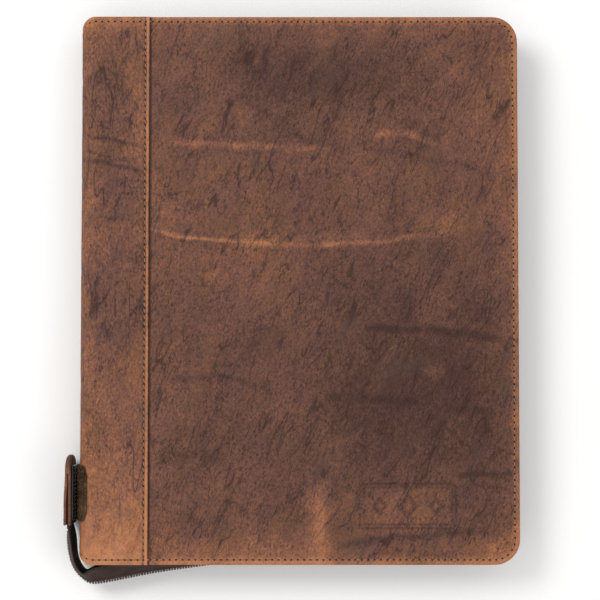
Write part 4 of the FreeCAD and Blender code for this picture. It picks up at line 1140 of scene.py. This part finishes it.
def build_tapes():
    for cover in (FRONT, BACK):
        run = sewn_tape(cover)
        lean, run = add_tape(cover.name + "_tape_lean", free_tape(cover, SEWN_END, SPLIT, 46), run)
        cover.bend(lean, LEAN_ON_COVER, LEAN_ON_SPINE)
        bend = free_tape(cover, SPLIT, TAB_STATION, 90)
        rows = [bend]
        for y in np.linspace(TAB_Y, tail_end_high[1], 20)[1:]:
            row = bend[-1:].copy()
            row[..., 0], row[..., 1] = TAB_TAPE_X, y
            rows.append(row)
        tail, run = add_tape(cover.name + "_tape_tail", np.concatenate(rows), run)
        if cover.front:
            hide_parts("zip_tail_tape", "zip_tail_end")
        bend_to_tab(tail)


# ---------------------------------------------------------------- zip teeth
HALF_TOOTH_OUTLINE = ((1, 0.72), (0.55, 1), (-0.55, 1), (-1, 0.72))
TOOTH_OUTLINE = HALF_TOOTH_OUTLINE + tuple((-x, -z) for x, z in HALF_TOOTH_OUTLINE)
# from its head, past the chain's middle, to its root in the tape: (place, half length, half thickness)
TOOTH_ROWS = (
    (-0.9, 0.30, 0.55), (-0.75, 0.55, 0.85), (-0.3, 0.70, 1.0), (0.3, 0.66, 1.05), (1.1, 0.56, 1.02),
    (1.9, 0.50, 0.9), (2.3, 0.36, 0.6))


def build_teeth():
    """Moulded teeth in turn on both tapes: X along the chain, Y from head to root, Z through the tooth."""
    rim = rim_line(CHAIN_INSET, FIRST_TOOTH_X, 0.0)
    rim = np.column_stack([rim, np.full(len(rim), MID_Z), np.full(len(rim), -1.0)])
    u = np.linspace(0, LAST_TOOTH, 400)
    tail = np.column_stack([ZIP_RIDGE(u), u])[1:]
    places, tangents = evenly(np.concatenate([rim, tail]), TOOTH_PITCH / 2)
    groups = {}
    for i, (place, tangent) in enumerate(zip(places, tangents)):
        cover = BACK if i % 2 else FRONT
        station = place[3]
        across = np.array([0, 0, float(cover.up)])
        if station > 0:
            ridge, edge, _ = tape_at(cover, station)
            across = unit(edge[0] - ridge[0])
        normal = unit(np.cross(unit(tangent[:3]), across))
        stretch = "sewn" if station < SEWN_END else "lean" if station < SPLIT else "tail"
        key = (stretch, None if stretch == "tail" else cover)
        axes = np.stack([np.cross(across, normal), across, normal], 1)
        groups.setdefault(key, []).append((place[:3], axes))
    shape = solid([[(half_x * x, y, half_z * z) for x, z in TOOTH_OUTLINE]
                   for y, half_x, half_z in TOOTH_ROWS])
    for (stretch, cover), group in groups.items():
        name = f"{cover.name}_{stretch}_teeth" if cover else "tail_teeth"
        piece = make_piece(name, *many(shape, group), TEETH)
        if stretch == "tail":
            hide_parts("zip_tail_teeth")
            bend_to_tab(piece)
        elif stretch == "lean":
            cover.bend(piece, LEAN_ON_COVER, LEAN_ON_SPINE)
        else:
            fit(piece, cover.body, ("zip_teeth_" + cover.name,))


def build_bottom_stop():
    """Crimped metal stop round both cords where the chain ends."""
    low, high = mm_box("zip_bottom_stop")
    centre, size = (low + high) / 2, (high - low) / 2
    lower = ((-1, 0.6), (-0.9, 0.9), (-0.5, 1.0), (-0.12, 0.92))
    levels = lower + tuple((-z, shrink) for z, shrink in reversed(lower))

    def squared(value):
        return math.copysign(abs(value) ** 0.6, value)

    rings = [[centre + size * (squared(math.cos(a)) * shrink, squared(math.sin(a)) * shrink, z)
              for a in circle(16)] for z, shrink in levels]
    stop = make_piece("tail_stop", *solid(rings), BRASS)
    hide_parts("zip_bottom_stop")
    bend_to_tab(stop)


# ---------------------------------------------------------------- end tab and pads
FLAP_T = 1.7
TAB_CORNER_R = 11.0
TAB_PLANE = 600
TAB_CLOSES = (26, 4)          # the flaps close towards the fold between these distances below it
TAB_CLOSES_BY = 0.34
TAB_STITCH_INSET = 2.6
TAB_STITCH_PITCH = 3.2
tab_width = tab_high[2] - tab_low[2]
flap_gap = tab_high[0] - tab_low[0] - FLAP_T          # between the flaps' middles
fold_y = tab_high[1] - flap_gap / 2 - FLAP_T / 2
flap_run = fold_y - tab_low[1]
fold_run = math.pi * flap_gap / 2


def tab_place(s, t):
    """The folded strip of the tab: s runs up the outer flap, over the fold and down the inner flap."""
    angle = np.clip((s - flap_run) / (flap_gap / 2), 0, math.pi)
    below = np.maximum(flap_run - s, 0) + np.maximum(s - flap_run - fold_run, 0)
    closed = smooth(*TAB_CLOSES, below)
    spread = flap_gap / 2 * (1 - TAB_CLOSES_BY * closed)
    x = (tab_low[0] + tab_high[0]) / 2 - spread * np.cos(angle) + 0.25 * closed
    y = fold_y + flap_gap / 2 * np.sin(angle) - below
    drop = corner_drop(np.minimum(t, tab_width - t), TAB_CORNER_R)
    y = tab_low[1] + (y - tab_low[1]) * (1 - drop / (tab_high[1] - tab_low[1]))
    wave = 0.12 * fractal(below, s * 0, 13, 43, 2)
    return np.stack([x + wave, y, BACK_Z + tab_low[2] + t], -1)


def tab_relief(s, t):
    groove = 0.3 * bump(np.minimum(t, tab_width - t), TAB_STITCH_INSET, 0.5) * (s < flap_run)
    return 0.10 * fractal(s, t, 5, 41, 3) - groove


def build_tab():
    along = edge_steps(2 * flap_run + fold_run, coarse=0.8)
    across = edge_steps(tab_width, coarse=0.9)
    piece, s, t = soft_sheet("tab_strap", tab_place, along, across, FLAP_T, STRIP_LEATHER, tab_relief,
                             flip=True)
    cut_edge = smooth(1.3, 0.3, np.minimum(t, tab_width - t))
    near_fold = bump(s, flap_run + fold_run / 2, 7)
    paint(piece, s, t, TAB_PLANE, 0.6 * cut_edge + 0.1 * near_fold - 0.45)
    fit(piece, "end_tab", ("tab_leather",))
    inset, high = TAB_STITCH_INSET, flap_run - 1.5
    path = [(inset, 2.0), (inset, high - 7.0), (inset + 1.8, high - 2.2), (inset + 6.0, high)]
    path += [(tab_width - t, s) for t, s in reversed(path)]
    t, s = evenly(path, TAB_STITCH_PITCH)[0].T
    holes = tab_place(s, t) - np.array([FLAP_T / 2 - 0.12, 0, 0])
    sew("tab_stitches", holes, (-1, 0, 0), "end_tab", ("tab_thread",))


def arch_shape(width, height, wire_r):
    """Small standing loop of yarn."""
    rings = []
    for k in range(6):
        a = math.pi * k / 5
        centre = np.array([-width / 2 * math.cos(a), 0, height * math.sin(a) - wire_r])
        out, side = np.array([-math.cos(a), 0, math.sin(a)]), np.array([0, 1, 0])
        rings.append([centre + wire_r * (out * math.cos(b) + side * math.sin(b)) for b in circle(4)])
    return solid(rings)


def hook_shape():
    """Small hook: a post whose top bends over."""
    centres = [(0, -0.2), (0, 0.9), (0.1, 1.35), (0.42, 1.62), (0.72, 1.4), (0.78, 1.05)]
    return solid([[(x + 0.2 * math.cos(b), 0.2 * math.sin(b), z + 0.06 * math.cos(b)) for b in circle(5)]
                  for x, z in centres])


LOOP_BASE_T = 0.9
LOOP_PAD_CORNER_R = 9.0
LOOP_PAD_ON_ROUNDING = 26 / 90     # how much of the spine's rounding the pad reaches over
HOOK_BASE_T = 1.1
HOOK_PITCH = 1.25
HOOK_MARGIN = 0.9
TUFT_COUNT = 2600
TUFT_W, TUFT_H, YARN_R = 0.75, 0.75, 0.13
TUFT_MARGIN = 0.1


def build_loop_pad():
    """Pad of loops that wraps round the spine, from one cover's rounding to the other's."""
    low, high = mm_box("loop_pad")
    length = high[1] - low[1]
    half_run = STRIP_RUN - STRIP_FLAT - STRIP_ARC * LOOP_PAD_ON_ROUNDING

    def place(s, t, out=LOOP_BASE_T / 2):
        side = np.abs(s - half_run)
        side = side * (1 - corner_drop(np.minimum(t, length - t), LOOP_PAD_CORNER_R) / half_run * 0.35)
        run = STRIP_RUN - side
        x, height = round_spine(run, STRIP_T / 2 + out)
        x = np.where(run > STRIP_FLAT + STRIP_ARC, LEFT - out, x)
        return np.stack([x, low[1] + t, np.where(s < half_run, FRONT.z(height), BACK.z(height))], -1)

    def relief(s, t):
        return 0.28 * fractal(s, t, 1.6, 47, 2) + 0.15 * fractal(s, t, 7, 48, 2)

    along = edge_steps(2 * half_run, near=2.5, coarse=0.7)
    across = edge_steps(length, near=2.5, coarse=0.7)
    base = soft_sheet("loop_base", place, along, across, LOOP_BASE_T, LOOPS, relief, flip=True)[0]
    fit(base, "spine", ("loop_pad",))
    rng = np.random.default_rng(11)
    tufts = []
    for _ in range(TUFT_COUNT):
        s = np.array(rng.uniform(TUFT_MARGIN, 2 * half_run - TUFT_MARGIN))
        t = np.array(rng.uniform(TUFT_MARGIN, length - TUFT_MARGIN))
        origin = place(s, t, LOOP_BASE_T)
        out = unit(place(s, t, LOOP_BASE_T + 0.5) - origin + rng.normal(0, 0.3, 3))
        sideways = unit(np.cross(out, rng.normal(0, 1, 3)))
        size = rng.uniform(0.8, 1.5)
        tufts.append((origin, np.stack([sideways, np.cross(out, sideways), out], 1) * size))
    pile = make_piece("loop_tufts", *many(arch_shape(TUFT_W, TUFT_H, YARN_R), tufts), LOOPS)
    fit(pile, "spine")


def build_hook_pad():
    """Pad of hooks on the tab, in rows that lean opposite ways."""
    low, high = mm_box("hook_pad")

    def place(s, t):
        return np.stack([np.full(s.shape, low[0] + HOOK_BASE_T / 2), low[1] + t, low[2] + s], -1)

    along, across = edge_steps(high[2] - low[2], near=2), edge_steps(high[1] - low[1], near=2)
    base = soft_sheet("hook_base", place, along, across, HOOK_BASE_T, HOOKS)[0]
    fit(base, "end_tab", ("hook_pad",))
    hooks = []
    for row, y in enumerate(np.arange(low[1] + HOOK_MARGIN, high[1] - 0.6, HOOK_PITCH)):
        lean = 1.0 if row % 2 else -1.0
        axes = np.stack([(0, lean, 0), (0, 0, lean), (1, 0, 0)], 1)
        for z in np.arange(low[2] + HOOK_MARGIN + 0.6 * (row % 2), high[2] - 0.6, HOOK_PITCH):
            hooks.append(((low[0] + HOOK_BASE_T, y, z), axes))
    pile = make_piece("hook_rows", *many(hook_shape(), hooks), HOOKS)
    fit(pile, "end_tab")


# ---------------------------------------------------------------- inside: linings, pockets, pen loop
LINING_STEP = 2.2


def waves(height, size, seed):
    """Relief of slow waves for a soft sheet."""
    def relief(s, t):
        return height * fractal(s, t, size, seed, 2)

    return relief


def build_lining(cover):
    low, high = mm_box(cover.name + "_lining")
    corner_r = OPEN_R + high[0] - RIGHT

    def place(s, t):
        x = low[0] + s
        y = t / high[1] * (high[1] - corner_drop(high[0] - x, corner_r))
        return np.stack([x, y, np.full(s.shape, (low[2] + high[2]) / 2)], -1)

    along = edge_steps(high[0] - low[0], coarse=LINING_STEP)
    across = edge_steps(2 * high[1], coarse=LINING_STEP) - high[1]
    piece = soft_sheet(cover.name + "_lining_cloth", place, along, across, high[2] - low[2], LINING,
                       waves(0.10, 34, 61), flip=cover.front)[0]
    fit(piece, cover.body, (cover.name + "_lining",))


LINING_BEND_FROM_END = 2.0


def build_spine_lining(cover):
    """Half of the spine's lining, from the middle of the spine over the crease to the cover's lining."""
    low, high = mm_box("spine_lining")
    lining_low, lining_high = mm_box("front_lining")
    x0, x1 = (low[0] + high[0]) / 2, lining_low[0]
    flat = high[2] - LINING_BEND_FROM_END - MID_Z
    rise, reach = (lining_low[2] + lining_high[2]) / 2 - MID_Z - flat, x1 - x0
    bend = math.pi / 2 * math.sqrt((rise ** 2 + reach ** 2) / 2)

    def place(s, t):
        a = np.clip((s - flat) / bend, 0, 1) * math.pi / 2
        x = x0 + reach * (1 - np.cos(a))
        return np.stack([x, t, MID_Z + cover.up * (np.minimum(s, flat) + rise * np.sin(a))], -1)

    along = edge_steps(flat + bend, coarse=0.8, soft_start=False, soft_end=False)
    across = edge_steps(2 * high[1], coarse=LINING_STEP) - high[1]
    piece = soft_sheet("spine_lining_" + cover.name, place, along, across, high[0] - low[0], LINING,
                       waves(0.12, 14, 63), soft=(0, 0, 1, 1), flip=not cover.front)[0]
    fit(piece, nodes=("spine_lining",) if cover.front else ())
    cover.bend(piece, (x1, MID_Z + cover.up * (flat + rise)), (x0, MID_Z + cover.up * flat))


POCKET_T = 1.0
POCKET_LIFT = 0.05            # a pocket's clearance from what it lies on
POCKET_STITCH_INSET = 2.6
POCKET_PLANE = 700
POCKET_CORNER_R = 4.0
POCKET_SAG = 0.25             # how far the open edge stands proud at its middle
CARD_POCKET_STEP = 16.0
CARD_POCKET_LIFT = 1.3


def patch_pocket(name, low, high, depth, cover, nodes, seed):
    """Leather patch on a lining, sewn on three sides, its open top edge standing a little proud."""
    width, length = high[0] - low[0], high[1] - low[1]

    def side_distance(s, t):
        return np.minimum(np.minimum(s, width - s), t)

    def place(s, t):
        y = low[1] + corner_drop(np.minimum(s, width - s), POCKET_CORNER_R) * (1 - t / length) + t
        sag = POCKET_SAG * np.sin(math.pi * s / width) * smooth(0, length, t)
        z = cover.inner_z(depth + POCKET_T / 2 + POCKET_LIFT + sag)
        return np.stack([low[0] + s, y, z], -1)

    def relief(s, t):
        groove = 0.25 * bump(side_distance(s, t), POCKET_STITCH_INSET, 0.5)
        fold = 0.16 * bump(length - t, 4.5, 0.5)
        return 0.08 * fractal(s, t, 22, seed, 3) - groove - fold

    along, across = edge_steps(width, coarse=1.8), edge_steps(length, coarse=1.8)
    piece, s, t = soft_sheet(name, place, along, across, POCKET_T, LEATHER, relief, flip=not cover.front)
    tone = 0.8 * smooth(2.4, 0.2, np.minimum(side_distance(s, t), length - t)) + 0.15
    paint(piece, s, t, POCKET_PLANE + seed, tone)
    fit(piece, cover.body, nodes)
    inset, corner = POCKET_STITCH_INSET, 6.0
    path = [(inset, length - 2), (inset, corner), (inset + 1.0, inset + 1.0), (corner, inset)]
    path += [(width - s, t) for s, t in reversed(path)]
    holes = place(*evenly(path, STITCH_PITCH)[0].T)
    holes[:, 2] = cover.inner_z(depth + POCKET_T + POCKET_LIFT - 0.2)
    sew(name + "_stitches", holes, (0, 0, -cover.up), cover.body)


def build_pockets():
    low, high = mm_box("front_document_pocket")
    patch_pocket("document_pocket", low, high, 0.0, FRONT, ("front_document_pocket",), 1)
    low, high = mm_box("back_pad_pocket")
    patch_pocket("pad_pocket", low, high, 0.0, BACK, ("back_pad_pocket",), 2)
    low, high = mm_box("front_card_pockets")
    for i in range(3):
        top = (high[0], high[1] - CARD_POCKET_STEP * i)
        nodes = () if i else ("front_card_pockets",)
        patch_pocket(f"card_pocket_{i + 1}", low, top, CARD_POCKET_LIFT * (i + 1), FRONT, nodes, 3 + i)


def build_pen_loop():
    low, high = mm_box("pen_loop")
    x = (low[0] + high[0]) / 2
    loop_r, thickness = 4.75, 0.9
    centre_h = high[2] - low[2] - loop_r - thickness / 2
    foot_h = thickness / 2 + 0.02
    foot = [(-8.0, foot_h), (-6.0, foot_h), (-4.2, foot_h), (-2.6, foot_h + 0.15), (-1.6, foot_h + 0.45)]
    turns = np.radians(np.linspace(-108, -432, 40))
    loop = [(loop_r * math.cos(a), centre_h + loop_r * math.sin(a)) for a in turns]
    path = np.array(foot + loop + [(-px, ph) for px, ph in reversed(foot)])
    run = covered(path)

    def place(s, t):
        px, ph = np.interp(s, run, path[:, 0]), np.interp(s, run, path[:, 1])
        return np.stack([x + px, low[1] + t, FRONT.inner_z(ph)], -1)

    along, across = edge_steps(run[-1], near=3, coarse=0.5), edge_steps(high[1] - low[1], near=3, coarse=0.8)
    piece = soft_sheet("pen_elastic", place, along, across, thickness, ELASTIC)[0]
    fit(piece, FRONT.body, ("pen_loop",))
    y = np.arange(low[1] + 2, high[1] - 1, 3.0)
    for side, sign in (("left", -1), ("right", 1)):
        holes = np.stack([np.full(len(y), x + sign * 6.4), y, np.full(len(y), FRONT.inner_z(thickness))], 1)
        sew("pen_stitches_" + side, holes, (0, 0, -1), FRONT.body)


# ---------------------------------------------------------------- stage
def look_at(thing, place, target):
    thing.location = place
    thing.rotation_euler = (Vector(target) - Vector(place)).to_track_quat("-Z", "Y").to_euler()
    bpy.context.scene.collection.objects.link(thing)


FLOOR_SIZE = 8                # m
FLOOR_GAP = 0.2 * MM


def build_floor():
    bpy.ops.mesh.primitive_plane_add(size=FLOOR_SIZE, location=(0, 0, cad_low.z - FLOOR_GAP))
    floor = bpy.context.object
    floor.name = "floor"
    n = Nodes("pale_floor")
    clouds = n.noise(object_place(n), 250, 250)
    colour = n.ramp(clouds, (0.0, (0.86, 0.86, 0.855)), (1.0, (0.90, 0.90, 0.895)))
    floor.data.materials.append(n.finish(colour, 0.9, specular=0.1))


ROOM_COLOUR, ROOM_STRENGTH = (1.0, 0.99, 0.98, 1), 0.85
LAMPS = (("key", (-1.0, 0.7, 1.5), 0.9, 16), ("fill", (1.3, -0.9, 1.4), 1.4, 6))   # name, place, size, watts


def build_light():
    world = bpy.data.worlds.new("soft_room")
    bpy.context.scene.world = world
    world.use_nodes = True
    background = world.node_tree.nodes["Background"]
    background.inputs["Color"].default_value = ROOM_COLOUR
    background.inputs["Strength"].default_value = ROOM_STRENGTH
    for name, place, size, power in LAMPS:
        light = bpy.data.lights.new(name, "AREA")
        light.shape = "DISK"
        light.size = size
        light.energy = power
        look_at(bpy.data.objects.new(name, light), place, (0, 0, 0))


CAMERA_ELEVATION = math.radians(87)
CAMERA_DISTANCE = 1.128
FIELD_WIDTH = 376.7 * MM      # what the picture's width spans at the target
SENSOR_WIDTH = 36.0
TARGET_X, TARGET_Y = 0.6 * MM, -7.1 * MM


def build_camera():
    data = bpy.data.cameras.new("camera")
    data.sensor_width = SENSOR_WIDTH
    data.lens = SENSOR_WIDTH * CAMERA_DISTANCE / FIELD_WIDTH
    camera = bpy.data.objects.new("camera", data)
    target = Vector((TARGET_X, TARGET_Y, FRONT_Z * MM))
    back_off = Vector((0, -math.cos(CAMERA_ELEVATION), math.sin(CAMERA_ELEVATION)))
    look_at(camera, target + CAMERA_DISTANCE * back_off, target)
    bpy.context.scene.camera = camera
    bpy.context.scene.view_settings.view_transform = "Standard"


for each_cover in (FRONT, BACK):
    build_panel(each_cover)
    build_strip(each_cover)
    build_stitching(each_cover)
    build_lining(each_cover)
    build_spine_lining(each_cover)
build_tapes()
build_teeth()
build_bottom_stop()
build_tab()
build_loop_pad()
build_hook_pad()
build_pockets()
build_pen_loop()
build_floor()
build_light()
build_camera()

NODE_LOOKS = {"board": BOARD, "zip": BRASS, "ring": NICKEL}
for node_name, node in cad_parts.items():
    for word, look in NODE_LOOKS.items():
        if word in node_name:
            node.data.materials.clear()
            node.data.materials.append(look)
            break
